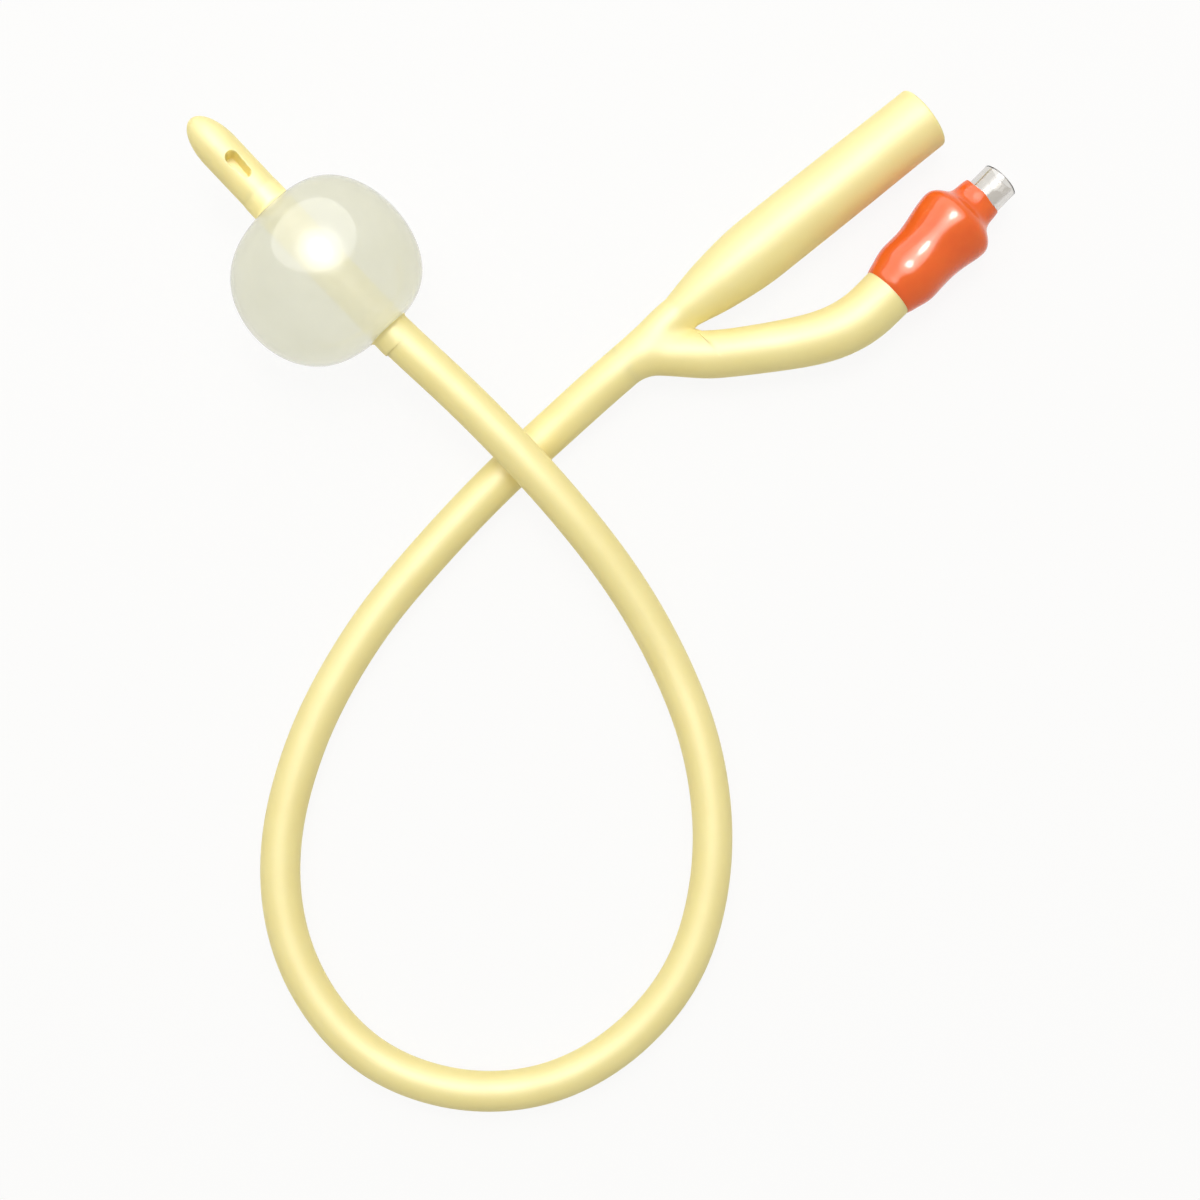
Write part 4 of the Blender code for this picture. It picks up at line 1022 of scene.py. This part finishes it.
def makeSpring(look):
    # Wire along a helix: round the valve axis by the turns while it climbs from one end to the other, with
    # part of the climb eased so that the end turns lie flatter
    share = np.linspace(0.0, 1.0, spring["points"])
    turn = 2 * math.pi * spring["turns"] * share[:, None]
    length = spring["to"] - spring["from"]
    climb = spring["from"] + length * ((1 - spring["eased"]) * share + spring["eased"] * ease(share))
    left, top = crossAxes(valveWay)
    outwards = left * np.cos(turn) + top * np.sin(turn)
    line = valveStart + valveWay * climb[:, None] + outwards * spring["radius"]
    across = np.cross(unit(np.gradient(line, axis=0)), outwards)
    roundWire = evenTurns(spring["sides"])[None, :, None]
    section = outwards[:, None] * np.cos(roundWire) + across[:, None] * np.sin(roundWire)
    rings = line[:, None] + spring["wire"] * section
    numbers = numbered(rings)
    pole = numbers.size
    points = np.concatenate([rings.reshape(-1, 3), line[[0, -1]]])
    faces = [bridge(numbers[:-1], numbers[1:]), fan(numbers[0], pole), fan(numbers[-1], pole + 1)]
    piece = makePiece("valveSpring", points, faces, look, "catheter", sharp=60)
    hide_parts("valve_spring")
    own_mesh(piece)


# Floor, world and lamps.

studio = {
    "floorSize": 6.0,
    "floor": "#E8E5DC",
    "floorGlow": 0.9,  # share of the floor that shows as plain white; the rest keeps the shadow
    "fill": "#B6B4AE",
    "mirroredNearer": 0.01,  # so that a lamp and its twin don't lie in one plane
}

# Round lamps. Tilt, swing and spread are degrees: where a lamp stands, and half the angle that it fills as
# seen from the object. Bright is its face, mirrored how bright its twin looks that only gloss sees, and
# soft the share of its radius over which it fades out.
lamps = {
    "core": {
        "tilt": 19.7, "swing": 3.3, "spread": 9.5, "distance": 0.54,
        "bright": 5.5, "mirrored": 20.0, "soft": 0.1,
    },
    "halo": {
        "tilt": 19.7, "swing": 3.3, "spread": 33.0, "distance": 0.56,
        "bright": 1.8, "mirrored": 12.0, "soft": 1.0,
    },
    "box": {
        "tilt": 40.8, "swing": 14.7, "spread": 46.0, "distance": 0.57,
        "bright": 0.5, "mirrored": 3.0, "soft": 0.04,
    },
}


def seenPlain(tree):
    # 1 for what the camera sees straight, in a mirror or through glass
    path = addNode(tree, "ShaderNodeLightPath")
    seen = path.outputs["Is Camera Ray"]
    for kind in ("Is Glossy Ray", "Is Transmission Ray"):
        either = addNode(tree, "ShaderNodeMath", {0: seen, 1: path.outputs[kind]}, operation="MAXIMUM")
        seen = either.outputs[0]
    return seen


def makeFloor():
    bpy.ops.mesh.primitive_plane_add(size=studio["floorSize"])
    floor = bpy.context.object
    floor.name = "paleFloor"
    material, tree, surface = newMaterial("paleFloor")
    share = addNode(tree, "ShaderNodeMath", {
        0: seenPlain(tree), 1: studio["floorGlow"],
    }, operation="MULTIPLY")
    mixed = addNode(tree, "ShaderNodeMixShader", {
        "Fac": share.outputs[0],
        1: addNode(tree, "ShaderNodeBsdfDiffuse", {"Color": tone(studio["floor"])}).outputs[0],
        2: addNode(tree, "ShaderNodeEmission", {"Color": white, "Strength": 1.0}).outputs[0],
    })
    tree.links.new(mixed.outputs[0], surface)
    floor.data.materials.append(material)


def makeLamp(name, lamp, bright, distance, lights):
    # Its direction leans from straight up towards the top of the picture, and swings to its left. Watts are
    # brightness times pi times the area of the face.
    roll = math.radians(photoView["roll"])
    pictureUp = np.array([-math.sin(roll), math.cos(roll), 0.0])
    pictureLeft = np.array([-math.cos(roll), -math.sin(roll), 0.0])
    tilt, swing = math.radians(lamp["tilt"]), math.radians(lamp["swing"])
    level = math.cos(swing) * pictureUp + math.sin(swing) * pictureLeft
    way = Vector(math.cos(tilt) * worldUp + math.sin(tilt) * level)
    radius = distance * math.tan(math.radians(lamp["spread"]))
    data = bpy.data.lights.new(name, "AREA")
    data.shape = "DISK"
    data.size = 2 * radius
    data.energy = bright * math.pi * math.pi * radius**2
    data.use_nodes = True
    tree = data.node_tree
    tree.nodes.clear()
    across = addNode(tree, "ShaderNodeTexCoord").outputs["UV"]
    middle = addNode(tree, "ShaderNodeVectorMath", {0: across, 1: (0.5, 0.5, 0.0)}, operation="DISTANCE")
    fade = addNode(tree, "ShaderNodeMapRange", {
        "Value": middle.outputs["Value"],
        "From Min": 0.5 * (1 - lamp["soft"]),
        "From Max": 0.5,
        "To Min": 1.0,
        "To Max": 0.0,
    }, interpolation_type="SMOOTHSTEP")
    glow = addNode(tree, "ShaderNodeEmission", {"Color": white, "Strength": fade.outputs["Result"]})
    addNode(tree, "ShaderNodeOutputLight", {"Surface": glow.outputs[0]})
    made = bpy.data.objects.new(name, data)
    made.location = way * distance
    made.rotation_euler = way.to_track_quat("Z", "Y").to_euler()
    made.visible_camera = False
    made.visible_diffuse = made.visible_transmission = lights
    bpy.context.scene.collection.objects.link(made)


def makeWorld():
    world = bpy.data.worlds.new("studioWorld")
    world.use_nodes = True
    tree = world.node_tree
    tree.nodes.clear()
    colour = addNode(tree, "ShaderNodeMix", {
        "Factor": seenPlain(tree), 6: tone(studio["fill"]), 7: white,
    }, data_type="RGBA")
    light = addNode(tree, "ShaderNodeBackground", {"Color": colour.outputs[2], "Strength": 1.0})
    addNode(tree, "ShaderNodeOutputWorld", {"Surface": light.outputs[0]})
    bpy.context.scene.world = world


def makeStudio():
    makeFloor()
    for name, lamp in lamps.items():
        makeLamp(name, lamp, lamp["bright"], lamp["distance"], True)
        nearer = lamp["distance"] - studio["mirroredNearer"]
        makeLamp(name + "Mirrored", lamp, lamp["mirrored"], nearer, False)
    makeWorld()
    bpy.context.scene.view_settings.view_transform = "Standard"


makeCamera()
latex = dippedLatex("dippedLatex", latexLook["scatter"])
shaftPiece = makeShaft(latex)
print("shaft done")
makeFork(latex)
balloonPiece = makeBalloon(
    milkySkin("frostedLatexSkin", balloonLook["clearSkin"], balloonLook["shine"]),
    milkySkin("wetLatexLining", balloonLook["clearLining"], 0.0),
    dippedLatex("cuffLatex", 0.0),
)
print("latex and balloon done")
makeSleeve(dippedOrange("dippedOrange"))
acetal = smallPart("whiteAcetal")
turnedPiece("valveHousing", clearPlastic("clearPolycarbonate"))
turnedPiece("valveInsert", acetal)
turnedPiece("valvePlunger", acetal)
turnedPiece("valveSeal", smallPart("nitrileRubber"))
makeSpring(smallPart("stainlessWire"))
print("valve done")

shaftAxis(np.linspace(shaftEnd, 0.0, shaft["cordPoints"]))
makeStudio()
print("studio done")
